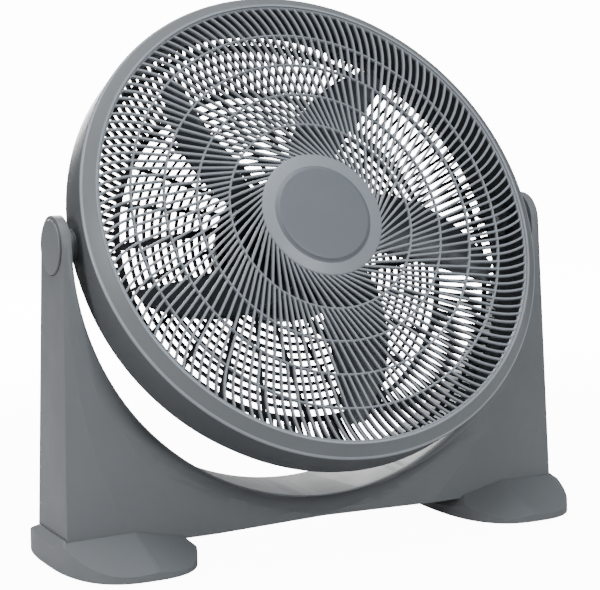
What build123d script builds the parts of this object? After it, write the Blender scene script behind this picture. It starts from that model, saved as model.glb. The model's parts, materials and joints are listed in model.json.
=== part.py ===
"""Round floor fan: a tilting drum head carried in a U-shaped stand on two moulded feet.

Millimetres, +Z up, front towards -Y, floor at Z = 0. The head is drawn at its tilted rest
position: "station" values run along the head axis, counted forward from the tilt axis.
"""
import os
from math import acos, cos, degrees, hypot, radians, sin, sqrt

from build123d import *

os.makedirs("parts", exist_ok=True)

# Stance
pivot_height = 320.0
pivot_setback = 7.5
rest_tilt = 26.5

# Drum and front ring
drum_radius = 261.0
drum_wall = 3.0
rim_inset = 16.0
rim_radius = drum_radius - rim_inset
rim_front = 51.0
lip_width = 3.0
lip_depth = 1.5
bezel_depth = 12.6
bezel_edge_depth = 2.0
bezel_wall = 2.6
spigot_length = 8.0
drum_depth = 43.4
shoulder_depth = 17.0
shoulder_drop = 9.0
fit_gap = 0.3

# Front grille
grille_depth = 5.0
grille_rim_width = 3.5
hub_disc_radius = 68.7
hub_disc_proud = 1.0
ring_pitch = 35.3
ring_width = 3.6
rib_width = 3.2
ribs_inner = 36
ribs_middle = 62
ribs_outer = 84
turn_rim = 4.2
hub_cap_inset = 13.9
hub_cap_radius = hub_disc_radius - hub_cap_inset
hub_cap_height = 3.0
hub_cap_bevel = 4.5

# Rear guard
guard_ring_depth = 4.0
guard_ring_width = 5.0
guard_lug_radius = 5.0
guard_lug_inset = 5.5
guard_dish = 32.0
guard_flat_radius = 187.0
guard_band_width = 6.0
guard_flat_depth = 4.0
guard_rib_count = 42
guard_rib_width = 3.0
guard_rib_inset = 1.0
guard_swell = 6.0
guard_spokes = 6
guard_spoke_slant = 17.0
guard_spoke_angle = 49.5
guard_spoke_width = 7.0
guard_hoops = 3
guard_hoop_width = 4.0
guard_dish_hoop_inset = 14.0
guard_dish_hoop_drop = 6.5
guard_collar_width = 9.0

# Motor
motor_radius = 70.0
motor_wall = 2.5
motor_front = -26.0
motor_length = 76.0
motor_back_round = 14.0
motor_flange_width = 8.0
motor_flange_depth = 3.0
stator_radius = 48.0
stator_length = 34.0
stator_bore = 27.0
rotor_air_gap = 0.5
shaft_radius = 4.0
shaft_tail = 12.0
bush_radius = 9.0
bush_length = 8.0
running_fit = 0.05
motor_post_radius = 5.0
motor_post_length = 8.0
motor_post_circle = 40.0
capacitor_width = 30.0
capacitor_height = 15.0
capacitor_length = 25.0
capacitor_offset = 36.0

# Impeller
blade_count = 5
blade_tip_gap = 28.0
blade_tip_radius = rim_radius - blade_tip_gap
blade_thickness = 2.6
blade_root_radius = 40.0
blade_first_angle = 8.6
blade_sweep = 27.0
blade_root_spread = 50.0
blade_tip_spread = 5.0
blade_root_depth = 36.0
blade_tip_depth = 8.0
blade_root_station = 6.0
blade_tip_station = 18.0
blade_camber = 0.08
hub_radius = 46.0
hub_length = 40.0
hub_front = 26.0
hub_wall = 4.0
hub_boss_radius = 12.0
nut_radius = 13.0
nut_length = 12.0

# Stand
side_clearance = 11.0
arc_radius = drum_radius + side_clearance
leg_thickness = 9.5
leg_half_width_top = arc_radius + leg_thickness
leg_splay = 6.5
leg_half_width_foot = leg_half_width_top + leg_splay
leg_half_depth_top = 31.5
leg_half_depth_foot = 42.0
arc_half_depth = 50.0
arc_lip = 1.5
arc_lip_drop = 140.0
cove_width = 36.0
cove_depth = 13.0
cove_hollow = 2.5
base_height = 22.0
stand_wall = 4.0
outer_crease_spread = 66.0
outer_crease_swell = 3.0
inner_crease_spread = 155.0
inner_crease_swell = 4.0
crease_curl = 2.4
crease_start = 0.15
crease_levels = 4
middle_dip = 3.0
tilt_pin_radius = 6.0
tilt_pin_fit = 0.08
tilt_boss_radius = 17.0
tilt_boss_height = 2.5
tilt_boss_inside = 12.0
cap_radius = 27.7
cap_depth = 3.5
cap_seat_depth = 1.0
pin_head_radius = 11.0
pin_head_depth = 3.0
pin_end = 3.0
pad_boss_radius = 20.0
pad_boss_height = 0.8
stand_rib = 5.0
stand_rib_height = 48.0
foot_screw_inset = 38.0
foot_screw_x = leg_half_width_foot - foot_screw_inset
foot_screw_y = 18.0
foot_boss_radius = 7.0

# Feet
foot_rim = 8.0
foot_width = 143.0
foot_outer = leg_half_width_foot + foot_rim
foot_inner = foot_outer - foot_width
foot_corner = 22.0
foot_half_length = 112.0
foot_skirt = 12.0
foot_height = 31.0
foot_nose = 34.0
foot_side = 52.0
pocket_gap = 0.8
pad_radius = 11.0
pad_recess = 1.5
pad_height = 4.0
foot_floor = 5.0
foot_top_inner = foot_inner + 15.0
foot_top_half = 48.0
foot_top_inset = 2.5
foot_top_taper = 0.33
pad_y = 82.0
pad_inset = 70.0
pad_x = foot_outer - pad_inset
foot_screw_radius = 2.5
foot_screw_head = 5.0
foot_screw_length = 24.0

# Control and supply entry
knob_radius = 17.0
knob_height = 15.0
knob_offset = 38.0
knob_spindle_radius = 3.0
knob_spindle_length = 12.0
knob_grip_width = 9.0
knob_grip_height = 7.0
knob_gap = 0.5
switch_width = 26.0
switch_depth = 16.0
gland_radius = 8.0
gland_neck = 5.5
gland_bore = 3.5
gland_length = 9.0
gland_offset = 42.0
screw_radius = 2.0
screw_head_radius = 4.0
screw_head_height = 2.5
guard_screws = 6
motor_screws = 4

# Derived stations and planes
tilt = radians(rest_tilt)
pivot = Vector(0, pivot_setback, pivot_height)
forward = Vector(0, -cos(tilt), sin(tilt))
head_axis = Axis(pivot, forward)
head_plane = Plane(origin=pivot, x_dir=(1, 0, 0), z_dir=forward)
profile_plane = Plane(origin=pivot, x_dir=(1, 0, 0), z_dir=(0, -sin(tilt), -cos(tilt)))

seam = rim_front - bezel_depth
shoulder = seam - drum_depth
drum_back = shoulder - shoulder_depth
back_radius = drum_radius - shoulder_drop
grille_front = rim_front - lip_depth
grille_back = grille_front - grille_depth
grille_radius = rim_radius + lip_width - 1.0
guard_front = drum_back
guard_seat_back = guard_front - guard_ring_depth
guard_flat_front = guard_front - guard_dish
guard_flat_back = guard_flat_front - guard_flat_depth
motor_back = motor_front - motor_length
ring_radii = [hub_disc_radius + ring_pitch * step for step in range(1, 5)]
flange_circle = motor_radius + motor_flange_width / 2
guard_screw_circle = back_radius - guard_lug_inset
guard_screw_angle = 180.0 / guard_rib_count
pivot_plane_left = Plane(origin=pivot, x_dir=(0, -1, 0), z_dir=(-1, 0, 0))
pivot_plane_right = Plane(origin=pivot, x_dir=(0, 1, 0), z_dir=(1, 0, 0))


def save(piece, label):
    """Label a finished piece and write it as its own file."""
    piece.part.label = label
    export_step(piece.part, f"parts/{label}.step")


def polar(radius, angle):
    """Point at a radius and an angle in degrees."""
    return Vector(radius * cos(radians(angle)), radius * sin(radians(angle)), 0)


def side_hit(start, end, shift, radius):
    """Where the side of a straight rib, shifted sideways from its middle line, meets a circle."""
    run = end - start
    along = run.normalized()
    across = Vector(-along.Y, along.X, 0)
    base = start + across * shift
    ahead = base.dot(along)
    reach = -ahead + sqrt(ahead * ahead - base.dot(base) + radius * radius)
    return base + along * reach


def chord_angle(radius):
    """Angle at which a straight rib, tangent to the edge of the hub's raised disc, passes a radius."""
    return degrees(acos(hub_cap_radius / radius))


def gap_wire(low, high, turn, count, first_angle):
    """Outline of one opening between two neighbouring straight ribs that run from ring to ring."""
    sides = []
    for offset, shift in ((0.0, rib_width / 2), (360.0 / count, -rib_width / 2)):
        start = polar(low, first_angle + offset)
        end = polar(high, first_angle + offset + turn)
        inside = side_hit(start, end, shift, low + ring_width / 2)
        outside = side_hit(start, end, shift, high - ring_width / 2)
        sides.append((inside, outside))
    left, right = sides
    return Wire.make_polygon([left[0], left[1], right[1], right[0]], close=True)


# Front grille: a flat net of slanting ribs between rings, with a solid hub disc
net_radii = [hub_disc_radius - ring_width / 2, *ring_radii]
rim_edge = grille_radius - grille_rim_width + ring_width / 2
gaps = []
for low, high, count in zip(net_radii, ring_radii, (ribs_inner, ribs_middle, ribs_middle, ribs_outer)):
    turn = chord_angle(high) - chord_angle(low)
    for index in range(count):
        gaps.append(gap_wire(low, high, turn, count, chord_angle(low) + index * 360.0 / count))
for index in range(ribs_outer):
    start_angle = chord_angle(ring_radii[-1]) + index * 360.0 / ribs_outer
    gaps.append(gap_wire(ring_radii[-1], rim_edge, turn_rim, ribs_outer, start_angle))
net_face = Face(Wire.make_circle(grille_radius), gaps)
with BuildPart(head_plane.offset(grille_back)) as front_grille:
    add(Solid.extrude(net_face, Vector(0, 0, grille_depth)), clean=False)
    with BuildSketch(head_plane.offset(grille_front)):
        Circle(hub_disc_radius)
    extrude(amount=hub_disc_proud, clean=False)
save(front_grille, "front_grille")

# Plain raised disc on the middle of the grille
with BuildPart() as hub_cap:
    with BuildSketch(profile_plane):
        with BuildLine():
            Polyline(
                (0, grille_front + hub_disc_proud),
                (hub_cap_radius, grille_front + hub_disc_proud),
                (hub_cap_radius - hub_cap_bevel, grille_front + hub_disc_proud + hub_cap_height),
                (0, grille_front + hub_disc_proud + hub_cap_height),
                close=True,
            )
        make_face()
    revolve(axis=head_axis)
save(hub_cap, "hub_cap")

# Front ring: lip, sloped face and a spigot that plugs into the drum
spigot_radius = drum_radius - drum_wall - fit_gap
with BuildPart() as bezel_ring:
    with BuildSketch(profile_plane):
        with BuildLine():
            Polyline(
                (rim_radius, rim_front),
                (rim_radius + lip_width, rim_front),
                (drum_radius, seam + bezel_edge_depth),
                (drum_radius, seam),
                (spigot_radius, seam),
                (spigot_radius, seam - spigot_length),
                (spigot_radius - bezel_wall, seam - spigot_length),
                (spigot_radius - bezel_wall, seam + bezel_wall),
                (grille_radius + fit_gap, grille_front - bezel_wall),
                (grille_radius + fit_gap, grille_front),
                (rim_radius, grille_front),
                close=True,
            )
        make_face()
    revolve(axis=head_axis)
save(bezel_ring, "bezel_ring")

# Drum: straight wall, tapered rear shoulder, rear seat and the two tilt bosses
boss_outer = drum_radius + tilt_boss_height
boss_inner = drum_radius - tilt_boss_inside
with BuildPart() as drum_shell:
    with BuildSketch(profile_plane):
        with BuildLine():
            Polyline(
                (drum_radius, seam),
                (drum_radius, shoulder),
                (back_radius, drum_back),
                (back_radius - guard_ring_width, drum_back),
                (back_radius - guard_ring_width, drum_back + drum_wall),
                (back_radius - drum_wall / 2, drum_back + drum_wall),
                (drum_radius - drum_wall, shoulder),
                (drum_radius - drum_wall, seam),
                close=True,
            )
        make_face()
    revolve(axis=head_axis)
    for plane in (pivot_plane_left, pivot_plane_right):
        with BuildSketch(plane.offset(boss_inner)):
            Circle(tilt_boss_radius)
        extrude(amount=boss_outer - boss_inner)
    for plane in (pivot_plane_left, pivot_plane_right):
        with BuildSketch(plane.offset(boss_inner - 1)):
            Circle(tilt_pin_radius + tilt_pin_fit)
        extrude(amount=boss_outer - boss_inner + 2, mode=Mode.SUBTRACT)
    with BuildSketch(head_plane.offset(drum_back)):
        with PolarLocations(guard_screw_circle, guard_screws, start_angle=guard_screw_angle):
            Circle(guard_lug_radius)
    extrude(amount=drum_wall)
    with BuildSketch(head_plane.offset(drum_back)):
        with PolarLocations(guard_screw_circle, guard_screws, start_angle=guard_screw_angle):
            Circle(screw_radius + running_fit)
    extrude(amount=drum_wall, mode=Mode.SUBTRACT)
save(drum_shell, "drum_shell")

# Rear guard: seat ring with screw lugs, ribs down the dish, hoops, slanting spokes and the motor collar
collar_radius = motor_radius + fit_gap
flat_edge = guard_flat_radius + guard_band_width
hoop_start = collar_radius + guard_collar_width
hoop_step = (guard_flat_radius - hoop_start) / (guard_hoops + 1)
rib_edge = back_radius - guard_rib_inset
rib_foot = guard_flat_radius + guard_band_width / 2
rib_end = (rib_foot, guard_flat_back + guard_flat_depth / 4)
rib_front = (rib_foot, guard_flat_front + guard_flat_depth / 4)
rib_root = (back_radius - 1.5 * guard_ring_width, guard_seat_back + guard_ring_depth / 4)
guard_seat_middle = (guard_front + guard_seat_back) / 2
spoke_middle = (collar_radius + guard_flat_radius) / 2
spoke_length = (guard_flat_radius - collar_radius) / cos(radians(guard_spoke_slant))
with BuildPart() as guard_rib:
    with BuildSketch(Plane.XZ):
        with BuildLine():
            Line(rib_end, rib_front)
            SagittaArc(rib_front, rib_root, -guard_swell)
            Polyline(
                rib_root,
                (rib_edge, guard_seat_middle),
                (rib_edge, guard_seat_back),
            )
            SagittaArc((rib_edge, guard_seat_back), rib_end, guard_swell)
        make_face()
    extrude(amount=guard_rib_width / 2, both=True)
with BuildPart(head_plane) as rear_guard:
    with BuildSketch(head_plane.offset(guard_seat_back)):
        Circle(back_radius)
        Circle(back_radius - guard_ring_width, mode=Mode.SUBTRACT)
        with PolarLocations(guard_screw_circle, guard_screws, start_angle=guard_screw_angle):
            Circle(guard_lug_radius)
    extrude(amount=guard_ring_depth)
    with BuildSketch(head_plane.offset(guard_flat_back)):
        Circle(flat_edge)
        Circle(guard_flat_radius, mode=Mode.SUBTRACT)
        for index in range(1, guard_hoops + 1):
            outer = guard_flat_radius - index * hoop_step
            Circle(outer)
            Circle(outer - guard_hoop_width, mode=Mode.SUBTRACT)
        Circle(hoop_start)
        with PolarLocations(spoke_middle, guard_spokes, start_angle=guard_spoke_angle):
            Rectangle(spoke_length, guard_spoke_width, rotation=guard_spoke_slant)
        Circle(collar_radius, mode=Mode.SUBTRACT)
    extrude(amount=guard_flat_depth)
    with BuildSketch(profile_plane):
        with Locations((back_radius - guard_dish_hoop_inset, guard_seat_back - guard_dish_hoop_drop)):
            Rectangle(guard_hoop_width + 1, guard_hoop_width)
    revolve(axis=head_axis)
    with PolarLocations(0, guard_rib_count):
        add(guard_rib.part)
    with BuildSketch(head_plane.offset(guard_flat_back)):
        with PolarLocations(flange_circle, motor_screws):
            Circle(screw_radius + running_fit)
    extrude(amount=guard_flat_depth, mode=Mode.SUBTRACT)
    with BuildSketch(head_plane.offset(guard_seat_back)):
        with PolarLocations(guard_screw_circle, guard_screws, start_angle=guard_screw_angle):
            Circle(screw_radius + running_fit)
    extrude(amount=guard_ring_depth, mode=Mode.SUBTRACT)
save(rear_guard, "rear_guard")

# Motor housing: cup with a seating flange, stator posts and a rear bush seat
motor_inner = motor_radius - motor_wall
flange_back = guard_flat_back - motor_flange_depth
housing_floor = motor_back + motor_wall
bush_seat = bush_radius + running_fit
stator_front = motor_front - motor_wall - motor_post_length
stator_back = stator_front - stator_length
with BuildPart() as motor_housing:
    with BuildSketch(profile_plane):
        with BuildLine():
            Polyline(
                (bush_seat, motor_front),
                (motor_radius, motor_front),
                (motor_radius, guard_flat_back),
                (motor_radius + motor_flange_width, guard_flat_back),
                (motor_radius + motor_flange_width, flange_back),
                (motor_radius, flange_back),
                (motor_radius, motor_back + motor_back_round),
                (motor_radius - motor_back_round * 0.3, motor_back + motor_back_round * 0.3),
                (motor_radius - motor_back_round, motor_back),
                (0, motor_back),
                (0, housing_floor),
                (bush_seat, housing_floor),
                (bush_seat, housing_floor + bush_length),
                (bush_seat + motor_wall, housing_floor + bush_length),
                (bush_seat + motor_wall, housing_floor),
                (motor_inner - motor_back_round, housing_floor),
                (motor_inner, housing_floor + motor_back_round),
                (motor_inner, motor_front - motor_wall),
                (bush_seat, motor_front - motor_wall),
                close=True,
            )
        make_face()
    revolve(axis=head_axis)
    with BuildSketch(head_plane.offset(motor_front - motor_wall)):
        with PolarLocations(motor_post_circle, motor_screws, start_angle=45):
            Circle(motor_post_radius)
    extrude(amount=-motor_post_length)
    with BuildSketch(head_plane.offset(stator_front)):
        with PolarLocations(motor_post_circle, motor_screws, start_angle=45):
            Circle(screw_radius + running_fit)
    extrude(amount=motor_post_length, mode=Mode.SUBTRACT)
    with BuildSketch(head_plane.offset(flange_back)):
        with PolarLocations(flange_circle, motor_screws):
            Circle(screw_radius + running_fit)
    extrude(amount=motor_flange_depth, mode=Mode.SUBTRACT)
    with BuildSketch(head_plane.offset(motor_back)):
        with Locations((0, knob_offset)):
            Circle(knob_spindle_radius + running_fit * 2)
        with Locations((0, -gland_offset)):
            Circle(gland_neck + running_fit)
    extrude(amount=motor_wall, mode=Mode.SUBTRACT)
save(motor_housing, "motor_housing")

# Stator stack with its bore and screw holes
with BuildPart() as motor_stator:
    with BuildSketch(head_plane.offset(stator_back)):
        Circle(stator_radius)
        Circle(stator_bore, mode=Mode.SUBTRACT)
        with PolarLocations(motor_post_circle, motor_screws, start_angle=45):
            Circle(screw_radius + fit_gap, mode=Mode.SUBTRACT)
    extrude(amount=stator_length)
save(motor_stator, "motor_stator")

# Two plain bushes that carry the shaft
with BuildPart() as shaft_bushes:
    for station in (motor_front, housing_floor + bush_length):
        with BuildSketch(head_plane.offset(station)):
            Circle(bush_radius)
            Circle(shaft_radius + running_fit, mode=Mode.SUBTRACT)
        extrude(amount=-bush_length)
save(shaft_bushes, "shaft_bushes")

# Screws: a head and a shank, placed by the plane of the seat they press on
def screw_set(seat, places, direction, shank):
    """Group of screws with heads on a seat plane and shanks running in one direction."""
    with BuildPart() as group:
        with BuildSketch(seat):
            with places:
                Circle(screw_radius)
        extrude(amount=direction * shank)
        with BuildSketch(seat):
            with places:
                Circle(screw_head_radius)
        extrude(amount=-direction * screw_head_height)
    return group


stator_screws = screw_set(
    head_plane.offset(stator_back),
    PolarLocations(motor_post_circle, motor_screws, start_angle=45),
    1,
    stator_length + motor_post_length - motor_wall,
)
save(stator_screws, "stator_screws")
flange_screws = screw_set(
    head_plane.offset(flange_back),
    PolarLocations(flange_circle, motor_screws),
    1,
    motor_flange_depth + guard_flat_depth,
)
save(flange_screws, "flange_screws")
guard_fixings = screw_set(
    head_plane.offset(guard_seat_back),
    PolarLocations(guard_screw_circle, guard_screws, start_angle=guard_screw_angle),
    1,
    guard_ring_depth + drum_wall,
)
save(guard_fixings, "guard_screws")

# Impeller: a cup-shaped hub with five swept, twisted blades
def blade_section(radius, spread, lean, front, back):
    """Cambered section of a blade on a plane square to its radius, leading edge to the rear."""
    angle = radians(lean)
    plane = Plane(
        origin=(radius * cos(angle), radius * sin(angle), 0),
        x_dir=(-sin(angle), cos(angle), 0),
        z_dir=(cos(angle), sin(angle), 0),
    )
    half = radius * sin(radians(spread / 2))
    chord = hypot(2 * half, front - back)
    normal = Vector(front - back, -2 * half, 0) / chord
    middle = Vector(0, (front + back) / 2, 0) + normal * chord * blade_camber
    skin = normal * blade_thickness
    lead = Vector(-half, back, 0)
    trail = Vector(half, front, 0)
    with BuildSketch(plane) as section:
        with BuildLine():
            ThreePointArc(lead, middle, trail)
            Line(trail, trail + skin)
            ThreePointArc(trail + skin, middle + skin, lead + skin)
            Line(lead + skin, lead)
        make_face()
    return section.sketch


def between(root, tip, share):
    """Value a share of the way along the blade from its root to its tip."""
    return root + (tip - root) * share


blade_sections = []
for index in range(4):
    share = index / 3
    station = between(blade_root_station, blade_tip_station, share)
    half_depth = between(blade_root_depth, blade_tip_depth, share) / 2
    blade_sections.append(
        blade_section(
            between(blade_root_radius, blade_tip_radius, share),
            between(blade_root_spread, blade_tip_spread, share),
            -blade_sweep * share,
            station + half_depth,
            station - half_depth,
        )
    )
with BuildPart() as blade:
    loft(blade_sections)
hub_back = hub_front - hub_length
with BuildPart(head_plane) as impeller:
    with BuildSketch(head_plane.offset(hub_back)):
        Circle(hub_radius)
    extrude(amount=hub_length)
    with BuildSketch(head_plane.offset(hub_back)):
        Circle(hub_radius - hub_wall)
        Circle(hub_boss_radius, mode=Mode.SUBTRACT)
    extrude(amount=hub_length - hub_wall, mode=Mode.SUBTRACT)
    with PolarLocations(0, blade_count, start_angle=blade_first_angle):
        add(blade.part)
    with BuildSketch(head_plane.offset(hub_back)):
        Circle(shaft_radius + running_fit)
    extrude(amount=hub_length, mode=Mode.SUBTRACT)
save(impeller, "impeller")

with BuildPart() as motor_shaft:
    with BuildSketch(head_plane.offset(housing_floor + fit_gap)):
        Circle(shaft_radius)
    extrude(amount=hub_front + shaft_tail - housing_floor - fit_gap - hub_wall)
save(motor_shaft, "motor_shaft")

with BuildPart() as motor_rotor:
    with BuildSketch(head_plane.offset(stator_back)):
        Circle(stator_bore - rotor_air_gap)
        Circle(shaft_radius + running_fit, mode=Mode.SUBTRACT)
    extrude(amount=stator_length)
save(motor_rotor, "motor_rotor")

with BuildPart() as impeller_nut:
    with BuildSketch(head_plane.offset(hub_front)):
        RegularPolygon(nut_radius, 6)
    extrude(amount=nut_length)
    chamfer(impeller_nut.faces().sort_by(head_axis)[-1].edges(), nut_length / 6)
    with BuildSketch(head_plane.offset(hub_front)):
        Circle(shaft_radius + running_fit)
    extrude(amount=shaft_tail - hub_wall + fit_gap, mode=Mode.SUBTRACT)
save(impeller_nut, "impeller_nut")

# Speed switch inside the housing and its knob on the back
with BuildPart() as speed_switch:
    with BuildSketch(head_plane.offset(housing_floor)):
        with Locations((0, knob_offset)):
            Rectangle(switch_width, switch_width)
            Circle(knob_spindle_radius + running_fit * 2, mode=Mode.SUBTRACT)
    extrude(amount=switch_depth)
save(speed_switch, "speed_switch")

with BuildPart() as speed_knob:
    with BuildSketch(head_plane.offset(motor_back - knob_gap)):
        with Locations((0, knob_offset)):
            Circle(knob_radius)
    extrude(amount=-(knob_height - knob_grip_height))
    with BuildSketch(head_plane.offset(motor_back - knob_gap - knob_height)):
        with Locations((0, knob_offset)):
            SlotOverall(2 * knob_radius - 2, knob_grip_width, rotation=90)
    extrude(amount=knob_grip_height)
    with BuildSketch(head_plane.offset(motor_back - knob_gap)):
        with Locations((0, knob_offset)):
            Circle(knob_spindle_radius)
    extrude(amount=knob_spindle_length)
save(speed_knob, "speed_knob")

with BuildPart() as run_capacitor:
    with BuildSketch(head_plane.offset(housing_floor)):
        with Locations((-capacitor_offset, 0)):
            Rectangle(capacitor_height, capacitor_width)
    extrude(amount=capacitor_length)
save(run_capacitor, "run_capacitor")

with BuildPart() as cord_inlet:
    with BuildSketch(head_plane.offset(motor_back)):
        with Locations((0, -gland_offset)):
            Circle(gland_radius)
    extrude(amount=-gland_length)
    with BuildSketch(head_plane.offset(motor_back)):
        with Locations((0, -gland_offset)):
            Circle(gland_neck)
    extrude(amount=motor_wall)
    with BuildSketch(head_plane.offset(motor_back - gland_length)):
        with Locations((0, -gland_offset)):
            Circle(gland_bore)
    extrude(amount=gland_length + motor_wall, mode=Mode.SUBTRACT)
save(cord_inlet, "cord_inlet")

# Stand: creased hollow U moulding with a hollow cove under the lip of the drum arc
def stand_outline(height, grow):
    """Cross-section of the stand at one height, with two creases either side of the middle."""
    drop = (pivot_height - height) / (pivot_height - base_height)
    curl = drop**crease_curl
    fold = crease_start + (1 - crease_start) * drop
    width = leg_half_width_top + (leg_half_width_foot - leg_half_width_top) * drop + grow
    depth = leg_half_depth_top + (leg_half_depth_foot - leg_half_depth_top) * drop + grow
    half = [
        (width, depth),
        (width - outer_crease_spread * curl - leg_thickness / 4, depth + outer_crease_swell * fold),
        (width - inner_crease_spread * curl - leg_thickness / 2, depth + inner_crease_swell * fold),
        (0, depth - middle_dip * fold),
    ]
    front = half + [(-x, y) for x, y in half[2::-1]]
    back = [(x, -y) for x, y in reversed(front)]
    return [(x, pivot_setback + y) for x, y in front + back]


stand_plane = Plane(origin=(0, pivot_setback, 0), x_dir=(1, 0, 0), z_dir=(0, -1, 0))
leg_plane = Plane(origin=(0, pivot_setback, 0), x_dir=(0, 1, 0), z_dir=(1, 0, 0))
cove_plane = Plane(origin=pivot, x_dir=(1, 0, 0), z_dir=(0, 0, 1))
reach = arc_half_depth * 2
leg_drop = pivot_height - base_height
lip_edge = arc_radius + arc_lip
cove_edge = arc_radius + cove_width
cove_foot = arc_half_depth - cove_depth
lip_top_depth = leg_half_depth_top - fit_gap
lip_start_depth = lip_top_depth + (leg_half_depth_foot - leg_half_depth_top) * arc_lip_drop / leg_drop
with BuildPart() as arc_sleeve:
    with BuildSketch(cove_plane):
        with BuildLine():
            Polyline(
                (lip_edge, arc_half_depth),
                (arc_radius, arc_half_depth),
                (arc_radius, -arc_half_depth),
                (lip_edge, -arc_half_depth),
            )
            SagittaArc((lip_edge, -arc_half_depth), (cove_edge, -cove_foot), cove_hollow)
            Line((cove_edge, -cove_foot), (cove_edge, cove_foot))
            SagittaArc((cove_edge, cove_foot), (lip_edge, arc_half_depth), cove_hollow)
        make_face()
    revolve(axis=Axis(pivot, (0, 1, 0)))
    with BuildSketch(leg_plane):
        with BuildLine():
            Polyline(
                (-lip_top_depth, pivot_height),
                (-lip_start_depth, pivot_height - arc_lip_drop),
                (-arc_half_depth, pivot_height - arc_radius),
                (-arc_half_depth, base_height),
                (arc_half_depth, base_height),
                (arc_half_depth, pivot_height - arc_radius),
                (lip_start_depth, pivot_height - arc_lip_drop),
                (lip_top_depth, pivot_height),
                close=True,
            )
        make_face()
    extrude(amount=leg_half_width_top, both=True, mode=Mode.INTERSECT)

cavity_top = pivot_height - 2 * leg_half_depth_top
cavity_half_depth = leg_half_depth_foot - middle_dip - stand_wall
with BuildPart() as stand_cavity:
    with BuildSketch(stand_plane):
        with BuildLine():
            Polyline(
                (-leg_half_width_foot + stand_wall, base_height + stand_wall),
                (leg_half_width_foot - stand_wall, base_height + stand_wall),
                (leg_half_width_top - stand_wall, cavity_top),
                (-leg_half_width_top + stand_wall, cavity_top),
                close=True,
            )
        make_face()
        with Locations((0, pivot_height)):
            Circle(arc_radius + stand_wall, mode=Mode.SUBTRACT)
    extrude(amount=reach, both=True)
    with BuildSketch(leg_plane):
        with BuildLine():
            Polyline(
                (-cavity_half_depth, base_height),
                (cavity_half_depth, base_height),
                (leg_half_depth_top - stand_wall, cavity_top),
                (-leg_half_depth_top + stand_wall, cavity_top),
                close=True,
            )
        make_face()
    extrude(amount=2 * arc_radius, both=True, mode=Mode.INTERSECT)

cap_seat = leg_half_width_top - cap_seat_depth
with BuildPart() as stand_frame:
    for level in range(crease_levels + 1):
        height = base_height + (pivot_height - base_height) * level / crease_levels
        with BuildSketch(Plane.XY.offset(height)):
            with BuildLine():
                Polyline(*stand_outline(height, 0), close=True)
            make_face()
    loft(ruled=True)
    with BuildSketch(Plane.XY.offset(pivot_height)):
        with Locations((0, pivot_setback)):
            Rectangle(2 * leg_half_width_top, 2 * leg_half_depth_top)
    extrude(amount=leg_half_depth_top)
    with BuildSketch(leg_plane):
        with Locations((0, pivot_height)):
            Circle(leg_half_depth_top)
        with Locations((0, pivot_height / 2)):
            Rectangle(2 * reach, pivot_height)
    extrude(amount=2 * arc_radius, both=True, mode=Mode.INTERSECT)
    with BuildSketch(stand_plane):
        with Locations((0, pivot_height)):
            Circle(arc_radius)
        with Locations((0, pivot_height + leg_half_depth_top)):
            Rectangle(2 * arc_radius, 2 * leg_half_depth_top)
    extrude(amount=reach, both=True, mode=Mode.SUBTRACT)
    add(arc_sleeve.part)
    add(stand_cavity.part, mode=Mode.SUBTRACT)
    for side in (-1, 1):
        with BuildSketch(leg_plane.offset(side * foot_screw_x - stand_rib / 2)):
            with Locations((0, base_height + stand_rib_height / 2)):
                Rectangle(2 * (leg_half_depth_foot - stand_wall / 2), stand_rib_height)
        extrude(amount=stand_rib)
        with BuildSketch(Plane.XY.offset(base_height)):
            with Locations((side * foot_screw_x, pivot_setback)):
                with GridLocations(1, 2 * foot_screw_y, 1, 2):
                    Circle(foot_boss_radius)
        extrude(amount=stand_rib_height)
        with BuildSketch(Plane.XY.offset(base_height)):
            with Locations((side * foot_screw_x, pivot_setback)):
                with GridLocations(1, 2 * foot_screw_y, 1, 2):
                    Circle(foot_screw_radius + running_fit)
        extrude(amount=foot_screw_length, mode=Mode.SUBTRACT)
    for plane in (pivot_plane_left, pivot_plane_right):
        with BuildSketch(plane.offset(arc_radius - pad_boss_height)):
            Circle(pad_boss_radius)
        extrude(amount=leg_half_width_top - arc_radius)
        with BuildSketch(plane.offset(arc_radius - pad_boss_height)):
            Circle(tilt_pin_radius + running_fit)
        extrude(amount=reach, mode=Mode.SUBTRACT)
        with BuildSketch(plane.offset(cap_seat - pin_head_depth)):
            Circle(pin_head_radius + fit_gap)
        extrude(amount=reach, mode=Mode.SUBTRACT)
        with BuildSketch(plane.offset(cap_seat)):
            Circle(cap_radius + fit_gap)
        extrude(amount=reach, mode=Mode.SUBTRACT)
save(stand_frame, "stand_frame")

# Tilt pins, spacers and outer caps, one of each per leg
for side_name, plane in (("left", pivot_plane_left), ("right", pivot_plane_right)):
    with BuildPart() as tilt_pin:
        with BuildSketch(plane.offset(boss_inner - pin_end)):
            Circle(tilt_pin_radius)
        extrude(amount=cap_seat - boss_inner + pin_end)
        with BuildSketch(plane.offset(cap_seat)):
            Circle(pin_head_radius)
        extrude(amount=-pin_head_depth)
    save(tilt_pin, f"tilt_pin_{side_name}")
    with BuildPart() as tilt_spacer:
        with BuildSketch(plane.offset(boss_outer + fit_gap)):
            Circle(tilt_boss_radius)
            Circle(tilt_pin_radius + running_fit, mode=Mode.SUBTRACT)
        extrude(amount=arc_radius - pad_boss_height - boss_outer - fit_gap)
    save(tilt_spacer, f"tilt_spacer_{side_name}")
    with BuildPart() as tilt_cap:
        with BuildSketch(plane.offset(cap_seat)):
            Circle(cap_radius)
        extrude(amount=cap_depth)
        chamfer(tilt_cap.faces().sort_by(Axis(pivot, plane.z_dir))[-1].edges(), cap_seat_depth)
    save(tilt_cap, f"tilt_cap_{side_name}")

# Feet: skirted pads with sloping tops, each with a pocket for the leg
foot_bottom = pad_height - pad_recess
skirt_wall = foot_skirt - foot_bottom
foot_top_outer = foot_outer - foot_top_inset


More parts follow.
